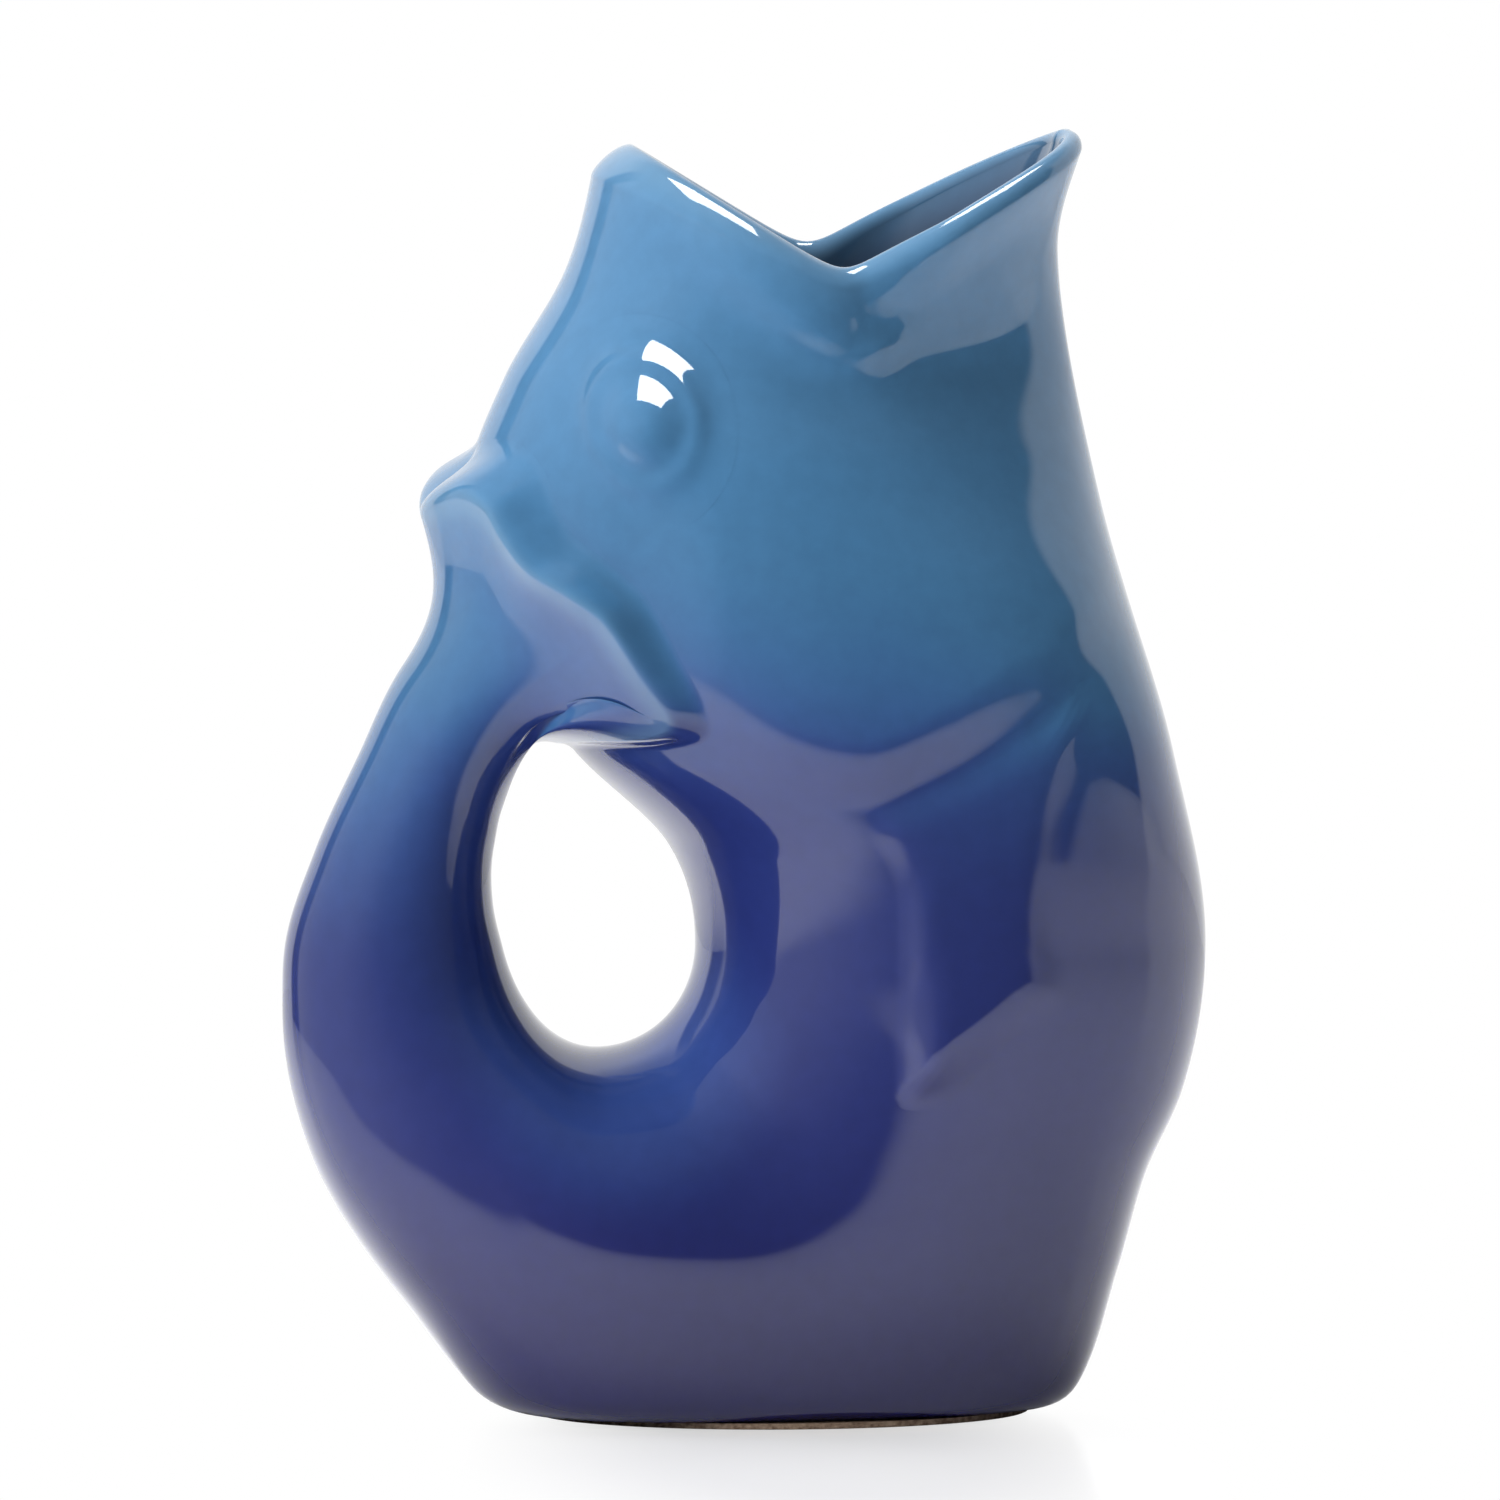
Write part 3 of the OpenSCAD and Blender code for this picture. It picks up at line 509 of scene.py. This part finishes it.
def fin_lean():
    """Lean of the crest off the head's surface, rolled under at the fin's lower border."""
    side, low = np.sin(PHI) ** 2, np.clip(-np.cos(PHI), 0, 1) ** 2
    return np.radians(FIN_LEAN_TOP + (FIN_LEAN_SIDE - FIN_LEAN_TOP) * side - FIN_ROLL_LOW * low)[:, None]


def lip_edge(turn, z, outward, reach):
    """The lip's edge on the head, at a reach from its crest's foot, and the way the head runs on there."""
    round_, up = nape_slopes(turn, z)
    turn_step = (outward * round_).sum(axis=1) / (round_ * round_).sum(axis=1)
    z_step = (outward * up).sum(axis=1) / (up * up).sum(axis=1)
    on = reach + SLOPE_STEP
    edge = nape(turn + turn_step * reach, z + z_step * reach)
    return edge, unit(nape(turn + turn_step * on, z + z_step * on) - edge)


def fin_rings():
    """Rings of the fin from its edge on the head, over its lip and down the bell to the tail's end."""
    turn, z, stand = fin_crest(PHI)
    foot = nape(turn, z)
    round_, up = nape_slopes(turn, z)
    normal = unit(np.cross(up, round_))
    along_crest = np.roll(foot, -CREST_WINDOW, axis=0) - np.roll(foot, CREST_WINDOW, axis=0)
    outward = unit(np.cross(along_crest, normal))
    upper = np.clip(np.cos(PHI), 0, 1) ** LIP_TOP_POWER
    reach = (LIP_LEAST + LIP_SHARE * stand) * (1 + LIP_TOP_SHARE * upper)
    edge, edge_outward = lip_edge(turn, z, outward, reach)
    reach = reach[:, None]
    crest = foot + normal * stand[:, None]
    over = outward * np.cos(fin_lean()) + normal * np.sin(fin_lean())
    root = turned(TAIL_END, PHI, 0, 0)
    along = unit(root - turned(TAIL_END - SLOPE_STEP, PHI, 0, 0))
    run = np.linalg.norm(crest - root, axis=1, keepdims=True)
    lip = [bezier(crest, crest + over * reach * LIP_CREST_PULL,
                  edge - edge_outward * reach * LIP_EDGE_PULL, edge, t)
           for t in np.linspace(1, 0, LIP_STEPS + 1)]
    bell = [bezier(root, root + along * run * BELL_ROOT_PULL, crest - over * run * BELL_CREST_PULL, crest, t)
            for t in np.linspace(1, 0, FIN_STEPS + 1)]
    return np.array(lip[:-1] + bell)


# Skin as one run of rings: from the fin's edge along the tail, round the bend, up to the rim and over it,
# and down inside to the end of the tail's hollow

fin = fin_rings()
tail = turned_rings(np.linspace(TAIL_END, TAIL_SEAM, TAIL_STEPS + 1), 0, 0)
low_body = turned_rings(np.linspace(TAIL_SEAM, 0, TURN_STEPS + 1), 0, FOOT_H)
high_body = np.array([outer_upright(s) for s in np.linspace(0, 1, UPRIGHT_STEPS + 1)])
inner_high = np.array([inner_upright(s) for s in np.linspace(1, 0, INNER_STEPS + 1)])
inner_low = turned_rings(np.linspace(0, TAIL_SEAM, INNER_STEPS + 1), WALL, FOOT_H + FLOOR_T)
duct = turned_rings(np.linspace(TAIL_SEAM, TAIL_END, DUCT_STEPS + 1), WALL, 0)

skin = np.concatenate([fin, tail[1:], low_body[1:], high_body[1:], rim_rings(), inner_high, inner_low[1:],
                       duct[1:]])
skin_normals = ring_normals(skin)
tail_from = LIP_STEPS + FIN_STEPS
body_from = tail_from + TAIL_STEPS
duct_from = len(skin) - len(duct)


# Shader nodes

# Sockets of a colour mix node, which share their names with others
MIX_FACTOR, MIX_A, MIX_B, MIX_RESULT = 0, 6, 7, 2


def add_node(tree, kind, inputs=None, **settings):
    """A new shader node. An input is given as a value, or as the output that is linked to it."""
    made = tree.nodes.new("ShaderNode" + kind)
    for name, value in settings.items():
        setattr(made, name, value)
    for socket, value in (inputs or {}).items():
        if isinstance(value, bpy.types.NodeSocket):
            tree.links.new(value, made.inputs[socket])
        else:
            made.inputs[socket].default_value = value
    return made


def calculate(tree, operation, *values):
    return add_node(tree, "Math", dict(enumerate(values)), operation=operation).outputs[0]


def vectors(tree, operation, a, b, output="Value"):
    return add_node(tree, "VectorMath", {0: a, 1: b}, operation=operation).outputs[output]


def between(tree, value, start, end, low=0, high=1, kind="SMOOTHSTEP"):
    """A number that goes from low to high while a value goes from start to end."""
    limits = {"Value": value, "From Min": start, "From Max": end, "To Min": low, "To Max": high}
    return add_node(tree, "MapRange", limits, interpolation_type=kind).outputs[0]


def blend(tree, factor, a, b):
    inputs = {MIX_FACTOR: factor, MIX_A: a, MIX_B: (*b, 1)}
    return add_node(tree, "Mix", inputs, data_type="RGBA").outputs[MIX_RESULT]


def ramp(tree, factor, stops, kind="LINEAR"):
    """The colour at a factor, from stops of (position, colour)."""
    made = add_node(tree, "ValToRGB", {"Fac": factor})
    made.color_ramp.interpolation = kind
    for _ in stops[2:]:
        made.color_ramp.elements.new(0.5)
    for element, (at, colour) in zip(made.color_ramp.elements, stops):
        element.position = at
        element.color = (*colour, 1)
    return made.outputs["Color"]


def noise(tree, place, scale, detail=2):
    return add_node(tree, "TexNoise", {"Vector": place, "Scale": scale, "Detail": detail}).outputs["Fac"]


def bumps(tree, height, strength, distance):
    inputs = {"Height": height, "Strength": strength, "Distance": distance}
    return add_node(tree, "Bump", inputs).outputs["Normal"]


def mark(tree, name):
    return add_node(tree, "Attribute", attribute_name=name).outputs["Fac"]


def new_material(name):
    material = bpy.data.materials.new(name)
    material.use_nodes = True
    return material, material.node_tree, material.node_tree.nodes["Principled BSDF"]


# Glaze. Its places and distances are in metres, and its stops are colours by the share of the jug's height.

GLAZE_STOPS = [(0.0, (0.013, 0.012, 0.084)), (0.20, (0.016, 0.025, 0.145)), (0.34, (0.018, 0.029, 0.145)),
               (0.43, (0.020, 0.034, 0.155)), (0.52, (0.030, 0.072, 0.230)), (0.61, (0.045, 0.140, 0.310)),
               (0.70, (0.055, 0.172, 0.335)), (0.80, (0.062, 0.197, 0.380)), (1.0, (0.085, 0.235, 0.430))]
# Colour of the painted shade that darkens the inside of the mouth, and the lighter colour where the glaze
# runs thin at the edges
HOLLOW_SHADE_COLOUR, THIN_COLOUR = (0.012, 0.022, 0.060), (0.20, 0.36, 0.50)
# Painted light: a blue glow below the finger hole, with its colour, place in side view and greatest share,
# and the distances where it is full and where it is gone
GLOW_COLOUR, GLOW_PLACE, GLOW_SHARE = (0.056, 0.120, 0.420), (-0.035, 0, 0.075), 0.6
GLOW_FULL, GLOW_END = 0.008, 0.036
# Slow drift of the colour by noise, and its scale; then painted light and shade, which moves the colour up
# the run on upward faces and down it on downward faces
DRIFT, DRIFT_SCALE, UPWARD_PAINTED_LIGHT = 0.03, 14, 0.05
FLECK, FLECK_SCALE, FLECK_DETAIL, FLECK_LOW, FLECK_HIGH = 0.04, 260, 3, 0.3, 0.7
GLOSS_FINE, GLOSS_SOFT, GLAZE_IOR = 0.035, 0.075, 1.60
RIPPLE_SCALE, RIPPLE, RIPPLE_DEPTH = 70, 0.05, 0.0004


def glaze_height(tree, place, drift):
    """Share of the jug's height, shifted by a slow noise and raised where the surface faces upwards: painted
    light on upward faces and painted shade on downward ones.
    """
    z = add_node(tree, "SeparateXYZ", {0: place}).outputs["Z"]
    shifted = calculate(tree, "MULTIPLY_ADD", drift, DRIFT, z)
    normal = add_node(tree, "NewGeometry").outputs["Normal"]
    upward = add_node(tree, "SeparateXYZ", {0: normal}).outputs["Z"]
    # Painted light and shade by which way the surface faces
    painted_light_height = calculate(tree, "MULTIPLY_ADD", upward, UPWARD_PAINTED_LIGHT, shifted)
    return between(tree, painted_light_height, DRIFT / 2, DRIFT / 2 + SPOUT_Z * MM, kind="LINEAR")


def painted_hole_glow(tree, place):
    """Share of the painted blue glow below the finger hole, where light reaches its lower rim, by the
    distance in side view.
    """
    flat = vectors(tree, "MULTIPLY", place, (1, 0, 1), "Vector")
    return between(tree, vectors(tree, "DISTANCE", flat, GLOW_PLACE), GLOW_FULL, GLOW_END, GLOW_SHARE, 0)


def glaze_colour(tree, place, drift):
    """Run of colours, with a painted blue glow below the finger hole and painted shade inside the hollow,
    flecked, and thin at the edges.
    """
    colour = ramp(tree, glaze_height(tree, place, drift), GLAZE_STOPS, "B_SPLINE")
    # Painted glow of light below the finger hole
    colour = blend(tree, painted_hole_glow(tree, place), colour, GLOW_COLOUR)
    # Painted shade inside the hollow
    colour = blend(tree, mark(tree, "hollow"), colour, HOLLOW_SHADE_COLOUR)
    fleck = noise(tree, place, FLECK_SCALE, FLECK_DETAIL)
    level = between(tree, fleck, FLECK_LOW, FLECK_HIGH, 1 - FLECK, 1 + FLECK, "LINEAR")
    flecked = add_node(tree, "VectorMath", {0: colour, "Scale": level}, operation="SCALE").outputs[0]
    return blend(tree, mark(tree, "edge"), flecked, THIN_COLOUR)


def glaze_material():
    """Glossy glaze that runs from sky blue at the mouth to deep indigo at the foot."""
    material, tree, shader = new_material("ombre_glaze")
    place = add_node(tree, "TexCoord").outputs["Object"]
    drift = noise(tree, place, DRIFT_SCALE)
    roughness = between(tree, drift, 0, 1, GLOSS_FINE, GLOSS_SOFT, "LINEAR")
    ripple = bumps(tree, noise(tree, place, RIPPLE_SCALE), RIPPLE, RIPPLE_DEPTH)
    tree.links.new(glaze_colour(tree, place, drift), shader.inputs["Base Color"])
    tree.links.new(roughness, shader.inputs["Roughness"])
    tree.links.new(ripple, shader.inputs["Normal"])
    shader.inputs["IOR"].default_value = GLAZE_IOR
    return material


# Clay

CLAY_STOPS = [(0.35, (0.16, 0.10, 0.065)), (0.65, (0.38, 0.28, 0.20))]
CLAY_SCALE, CLAY_DETAIL, CLAY_GRAIN, CLAY_DEPTH, CLAY_ROUGHNESS = 900, 4, 0.4, 0.0002, 0.85


def clay_material():
    """Bare fired stoneware, speckled and dry."""
    material, tree, shader = new_material("bare_clay")
    speckle = noise(tree, add_node(tree, "TexCoord").outputs["Object"], CLAY_SCALE, CLAY_DETAIL)
    tree.links.new(ramp(tree, speckle, CLAY_STOPS), shader.inputs["Base Color"])
    tree.links.new(bumps(tree, speckle, CLAY_GRAIN, CLAY_DEPTH), shader.inputs["Normal"])
    shader.inputs["Roughness"].default_value = CLAY_ROUGHNESS
    return material


GLAZE = glaze_material()
CLAY = clay_material()


def dress(piece, node, material):
    piece.data.materials.append(material)
    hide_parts(node)
    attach(piece, "root")


# Body, tail and fin. The glaze is thin along the rim and the fin's crest, by a share, over a width that is a
# share of the rim or a count of rings.

# Share of the rim's width past its middle over which the painted shade inside the mouth grows to full
HOLLOW_SHADE_GROW = 0.8
RIM_THIN, RIM_THIN_WIDTH = 0.35, 0.4
FIN_THIN, FIN_THIN_WIDTH = 0.3, 5


def glazed_body():
    rings = skin[body_from:duct_from + 1]
    rim_from = TURN_STEPS + UPRIGHT_STEPS + 1
    past_rim = (np.arange(len(rings)) - rim_from) / RIM_STEPS - 0.5
    # The hollow mark is painted shade inside the mouth; the edge mark is where the glaze runs thin
    marks = {"hollow": ease(past_rim / HOLLOW_SHADE_GROW),
             "edge": RIM_THIN * bell_curve(past_rim / RIM_THIN_WIDTH)}
    return solid("glazed_body", rings, skin_normals[body_from:duct_from + 1], joined=True,
                 flat_bands={len(rings) - 1}, marks=marks)


def glazed_tail():
    rings = np.concatenate([skin[tail_from:body_from + 1], skin[duct_from:]])
    normals = np.concatenate([skin_normals[tail_from:body_from + 1], skin_normals[duct_from:]])
    return solid("glazed_tail", rings, normals, joined=True,
                 flat_bands={body_from - tail_from, len(rings) - 1})


def fin_seat(share):
    turn, z, _ = fin_crest(PHI)
    return nape(turn * share, FIN_CENTRE_Z + (z - FIN_CENTRE_Z) * share)


def glazed_tail_fin():
    seat = np.array([fin_seat(s) for s in SEAT_SHARES])
    end = np.array([turned(TAIL_END, PHI, WALL, 0)])
    end_normals = ring_normals(np.concatenate([end, end + [0, 0, 1]]))[:1]
    rings = np.concatenate([seat, skin[:tail_from + 1], end])
    normals = np.concatenate([ring_normals(seat), skin_normals[:tail_from + 1], end_normals])
    from_crest = np.arange(len(rings)) - len(seat) - LIP_STEPS
    return solid("glazed_tail_fin", rings, normals, start=nape(0.0, np.array(FIN_CENTRE_Z)),
                 finish=end[0].mean(axis=0) + HOLLOW_TIP,
                 flat_bands={*range(len(seat)), len(rings) - 2},
                 marks={"edge": FIN_THIN * bell_curve(from_crest / FIN_THIN_WIDTH)})


body = glazed_body()
dress(body, "body_shell", GLAZE)
dress(glazed_tail(), "tail_handle", GLAZE)
dress(glazed_tail_fin(), "tail_fin", GLAZE)


# Eyes and pectoral fins

def sprig(name, at, height, side, steps, sides):
    """A relief on the flank: at gives (x, z) for a share and angle, height the lift there."""
    angles = -side * np.arange(sides) * 2 * np.pi / sides

    def lifted(share, angles):
        x, z = at(share, angles)
        return on_flank(x, z, side) + flank_normal(x, z, side) * (SKIN + height(x, z, share))[:, None]

    def sunk(share, angles):
        x, z = at(share, angles)
        return on_flank(x, z, side) - flank_normal(x, z, side) * SPRIG_DEPTH

    top = np.array([lifted(s, angles) for s in (SPRIG_PAST, *np.linspace(1, SPRIG_LAST, steps))])
    base = np.array([sunk(s, angles) for s in SPRIG_BASE])
    rings = np.concatenate([base, top[1:]])
    normals = np.concatenate([-np.ones_like(base), ring_normals(top)[1:]])
    return solid(name, rings, normals, start=sunk(0.0, angles[:1])[0], finish=lifted(0.0, angles[:1])[0],
                 flat_bands=set(range(len(base))))


def eye_at(share, angles):
    squash = abs(flank_normal(np.array([EYE_X]), np.array([EYE_Z]), 1)[0, 1])
    r = SOCKET_R * share
    return EYE_X + r * np.cos(angles) * squash, EYE_Z + r * np.sin(angles)


def eye_height(x, z, share):
    """A soft dome, steeper on its lower side, in the middle of a soft ring."""
    r = SOCKET_R * share
    upward = (z - EYE_Z) / max(r, 1)
    steep = EYE_POWER - EYE_POWER_UP * upward
    ball = EYE_LIFT * np.exp(-(r / (EYE_SPREAD + EYE_SPREAD_UP * upward)) ** steep)
    base = SOCKET_RISE * ease((SOCKET_R - r) / SOCKET_SLOPE)
    ring = SOCKET_LIFT * math.exp(-((r - SOCKET_CREST_R) / SOCKET_SOFT) ** 2 / 2)
    return ball + float((base + ring) * ease((SOCKET_R - r) / SOCKET_FADE))


def pectoral_edge(a):
    """The fin's outline as a smooth closed curve; a counts its corners."""
    k = len(PECTORAL_OUTLINE)
    steps = np.arange(-2, k + 3)
    ring = np.array([PECTORAL_OUTLINE[i % k] for i in steps], float)
    return np.stack([curve(np.stack([steps, ring[:, c]], axis=1), a) for c in range(2)], axis=-1)


PECTORAL_LINE = pectoral_edge(np.linspace(0, len(PECTORAL_OUTLINE), PECTORAL_LINE_STEPS + 1))


def pectoral_at(share, angles):
    k = len(PECTORAL_OUTLINE)
    p = PECTORAL_MIDDLE + (pectoral_edge((-angles / (2 * np.pi) * k) % k) - PECTORAL_MIDDLE) * share
    return p[:, 0], p[:, 1]


def from_edge(x, z):
    """Distance to the fin's outline."""
    a, d = PECTORAL_LINE[:-1], np.diff(PECTORAL_LINE, axis=0)
    r = np.stack([x, z], axis=-1)[:, None] - a
    t = np.clip((r * d).sum(axis=-1) / (d * d).sum(axis=-1), 0, 1)
    return np.linalg.norm(r - t[..., None] * d, axis=-1).min(axis=1)


def pectoral_bevel(x, z):
    """Share of the fin's lift near its edge, softened by a mean over a few places round about."""
    dx, dz = x - PECTORAL_MIDDLE[0], z - PECTORAL_MIDDLE[1]
    down = -dz / np.maximum(np.hypot(dx, dz), 1)
    lower = ease((down - PECTORAL_DOWN) / PECTORAL_DOWN_GROW)
    bevel = PECTORAL_SIDE + (PECTORAL_BEVEL - PECTORAL_SIDE) * lower
    shares = []
    for a in np.arange(PECTORAL_SOFT_TURNS) * 2 * np.pi / PECTORAL_SOFT_TURNS:
        inside = from_edge(x + PECTORAL_SOFT * math.cos(a), z + PECTORAL_SOFT * math.sin(a)) - PECTORAL_SOFT
        shares.append(ease(inside / bevel))
    return np.mean(shares, axis=0)


def pectoral_height(x, z, share):
    """The fin hangs nearly plumb from its upper edge while the flank below it draws in."""
    plumb = flank(x, np.full_like(x, PECTORAL_HANG_Z)) + PECTORAL_LEAN * (PECTORAL_HANG_Z - z)
    stand = PECTORAL_LIFT + soft_max(plumb - flank(x, z), 0, PECTORAL_BLEND) - PECTORAL_BLEND / 4
    return stand * pectoral_bevel(x, z)


eyes = []
for side, word in ((1, "left"), (-1, "right")):
    eye = sprig(f"glazed_{word}_eye", eye_at, eye_height, side, EYE_STEPS, EYE_SIDES)
    dress(eye, f"{word}_eye", GLAZE)
    eyes.append(eye)
    pectoral = sprig(f"glazed_{word}_pectoral_fin", pectoral_at, pectoral_height, side, PECTORAL_STEPS,
                     PECTORAL_SIDES)
    dress(pectoral, f"{word}_pectoral_fin", GLAZE)


# Foot ring

def foot_ring():
    """The bare ring under the body, with its lower edges rubbed round."""
    edge, rubbed = FOOT_EDGE, FOOT_EDGE * FOOT_EDGE_ROUND
    profile = [(0, FOOT_H), (0, edge), (-rubbed, rubbed), (-edge, 0), (edge - FOOT_W, 0),
               (rubbed - FOOT_W, rubbed), (-FOOT_W, edge), (-FOOT_W, FOOT_H)]
    rings = np.array([stack((FOOT_HALF_X + d) * np.cos(-PHI), (FOOT_HALF_Y + d) * np.sin(-PHI), z)
                      for d, z in profile])
    looped = np.concatenate([rings[-1:], rings, rings[:1]])
    return solid("bare_foot_ring", rings, ring_normals(looped)[1:-1], joined=True,
                 flat_bands=set(range(len(profile))))


dress(foot_ring(), "foot_ring", CLAY)


# Stage, light and camera, in metres and watts

FLOOR_LEFT, FLOOR_RIGHT, FLOOR_FRONT, FLOOR_BACK = 0.62, 2.2, 0.9, 0.9
FLOOR_COLOUR, FLOOR_ROUGHNESS = (0.92, 0.92, 0.93, 1), 0.12

# Place, stretch and reach of the ground shadow that the camera sees, and the share of white mixed into it
SHADOW_PLACE, SHADOW_STRETCH = (0, -0.10, 0), (2.2, 1, 1)
SHADOW_FULL, SHADOW_END, SHADOW_WHITE = 0.05, 0.17, 0.45

# Slanted front edge of the table as glossy surfaces see it: the way across it, and where it fades and ends
PAPER_ACROSS, PAPER_FADE, PAPER_END = (0.447, 0.894, 0), 0.175, 0.275

# Brightness of the room in gloss, by the turn in degrees from the front to the right; the ceiling's takes
# over between two heights of the direction looked in. AMBIENT is the level for all other light.
WALLS = [(-180, 1.0), (-146, 1.0), (-144, 0.12), (-134, 0.12), (-131, 0.65), (-75, 0.65), (-25, 0.2),
         (10, 0.10), (97, 0.10), (101, 1.0), (180, 1.0)]
CEILING = [(-180, 0.35), (-140, 0.45), (-75, 0.45), (-25, 0.25), (10, 0.15), (97, 0.15), (140, 0.35),
           (180, 0.35)]
CEILING_START, CEILING_FULL = 0.55, 0.80
AMBIENT = 0.10

# Ray depth between the first and the second reflection of a lamp
REFLECTED_ONCE = 2.5

# Camera: its angles and distance, the point it aims at, the width of its frame there, and its sensor in mm
CAMERA_TURN, CAMERA_RISE, CAMERA_AWAY = math.radians(-5.5), math.radians(4.8), 6.0
CAMERA_AIM, CAMERA_FRAME, CAMERA_SENSOR = Vector((-0.0063, 0, 0.1314)), 0.2964, 36


def floor_mesh():
    corners = [(-FLOOR_LEFT, -FLOOR_FRONT, 0), (FLOOR_RIGHT, -FLOOR_FRONT, 0), (FLOOR_RIGHT, FLOOR_BACK, 0),
               (-FLOOR_LEFT, FLOOR_BACK, 0)]
    mesh = bpy.data.meshes.new("floor")
    mesh.from_pydata(corners, [], [(0, 1, 2, 3)])
    return mesh


def floor_material():
    """White and glossy. The camera sees plain white away from the object, and gloss sees the front edge."""
    material, tree, shader = new_material("white_floor")
    shader.inputs["Base Color"].default_value = FLOOR_COLOUR
    shader.inputs["Roughness"].default_value = FLOOR_ROUGHNESS
    place = add_node(tree, "NewGeometry").outputs["Position"]
    path = add_node(tree, "LightPath").outputs
    stretched = vectors(tree, "MULTIPLY", place, SHADOW_STRETCH, "Vector")
    away = vectors(tree, "DISTANCE", stretched, SHADOW_PLACE)
    far = between(tree, away, SHADOW_FULL, SHADOW_END, SHADOW_WHITE, 1)
    white = calculate(tree, "MULTIPLY", far, path["Is Camera Ray"])
    plain = add_node(tree, "Emission").outputs[0]
    table = add_node(tree, "MixShader", {"Fac": white, 1: shader.outputs[0], 2: plain}).outputs[0]
    across = vectors(tree, "DOT_PRODUCT", place, PAPER_ACROSS)
    inside = between(tree, across, -PAPER_END, -PAPER_FADE)
    kept = calculate(tree, "MAXIMUM", inside, calculate(tree, "SUBTRACT", 1, path["Is Glossy Ray"]))
    clear = add_node(tree, "BsdfTransparent").outputs[0]
    edged = add_node(tree, "MixShader", {"Fac": kept, 1: clear, 2: table}).outputs[0]
    tree.links.new(edged, tree.nodes["Material Output"].inputs["Surface"])
    return material


def floor():
    table = in_scene("floor", floor_mesh())
    table.data.materials.append(floor_material())
    return table


def group(name, members):
    """A collection that tells a lamp what it lights."""
    made = bpy.data.collections.new(name)
    for member in members:
        made.objects.link(member)
    return made


def lamp(name, place, aim, size, power, only=None, glossy=True, diffuse=True):
    """A soft rectangular lamp; only is the collection it lights, if not everything."""
    data = bpy.data.lights.new(name, "AREA")
    data.shape = "RECTANGLE"
    data.size, data.size_y = size
    data.energy = power
    made = in_scene(name, data)
    made.location = place
    made.rotation_euler = (Vector(aim) - Vector(place)).to_track_quat("-Z", "Y").to_euler()
    made.visible_glossy, made.visible_diffuse = glossy, diffuse
    if only:
        made.light_linking.receiver_collection = only
    return made


def once(lamp_object):
    """The lamp shows in the glaze by itself, and not again in a second reflection."""
    lamp_object.data.use_nodes = True
    tree = lamp_object.data.node_tree
    depth = add_node(tree, "LightPath").outputs["Ray Depth"]
    first = calculate(tree, "LESS_THAN", depth, REFLECTED_ONCE)
    tree.links.new(first, tree.nodes["Emission"].inputs["Strength"])


def lamps(table):
    lamp("top_light", (0.05, 0.10, 1.20), (0, 0, 0.10), (0.6, 0.5), 8, glossy=False)
    lamp("left_key", (-1.40, -0.75, 0.90), (0, 0, 0.12), (0.9, 0.9), 30, glossy=False)
    once(lamp("softbox", (0.05, 0.25, 1.15), (0, 0, 0.15), (0.5, 0.35), 7, group("shell", [body]),
              diffuse=False))
    once(lamp("catch_light", (-0.09, -0.17, 1.15), (0, 0, 0.19), (0.80, 0.50), 21, group("eyes", eyes),
              diffuse=False))
    tables = group("tables", [table])
    lamp("table_left", (-0.40, 0.05, 0.90), (-0.40, 0.05, 0), (0.45, 0.45), 5, tables, glossy=False)
    lamp("table_right", (1.60, -0.20, 0.90), (1.60, -0.20, 0), (1.0, 1.0), 22, tables, glossy=False)


def around(tree, turn, levels):
    """The brightness at a share of a whole turn, from levels by degrees."""
    return ramp(tree, turn, [(degrees / 360 + 0.5, (level, level, level)) for degrees, level in levels])


def mixed(tree, factor, a, b):
    return add_node(tree, "Mix", {"Factor": factor, "A": a, "B": b}).outputs["Result"]


def white_surround():
    """White for the camera. For gloss: a bright panel on the left, a dim room in front and white behind."""
    world = bpy.data.worlds.new("surround")
    bpy.context.scene.world = world
    world.use_nodes = True
    tree = world.node_tree
    path = add_node(tree, "LightPath").outputs
    look = add_node(tree, "TexCoord").outputs["Generated"]
    axes = add_node(tree, "SeparateXYZ", {0: look}).outputs
    ahead = calculate(tree, "MULTIPLY", axes["Y"], -1)
    turn = between(tree, calculate(tree, "ARCTAN2", axes["X"], ahead), -math.pi, math.pi, kind="LINEAR")
    upward = between(tree, axes["Z"], CEILING_START, CEILING_FULL)
    room = mixed(tree, upward, around(tree, turn, WALLS), around(tree, turn, CEILING))
    unseen = mixed(tree, path["Is Glossy Ray"], AMBIENT, room)
    background = tree.nodes["Background"].inputs
    tree.links.new(mixed(tree, path["Is Camera Ray"], unseen, 1.0), background["Strength"])
    background["Color"].default_value = (1, 1, 1, 1)


def camera():
    data = bpy.data.cameras.new("camera")
    data.sensor_width = CAMERA_SENSOR
    data.lens = CAMERA_SENSOR * CAMERA_AWAY / CAMERA_FRAME
    view = in_scene("camera", data)
    level = math.cos(CAMERA_RISE)
    away = Vector((math.sin(CAMERA_TURN) * level, -math.cos(CAMERA_TURN) * level, math.sin(CAMERA_RISE)))
    view.location = CAMERA_AIM + away * CAMERA_AWAY
    view.rotation_euler = (-away).to_track_quat("-Z", "Y").to_euler()
    bpy.context.scene.camera = view


lamps(floor())
white_surround()
camera()
bpy.context.scene.view_settings.view_transform = "Standard"
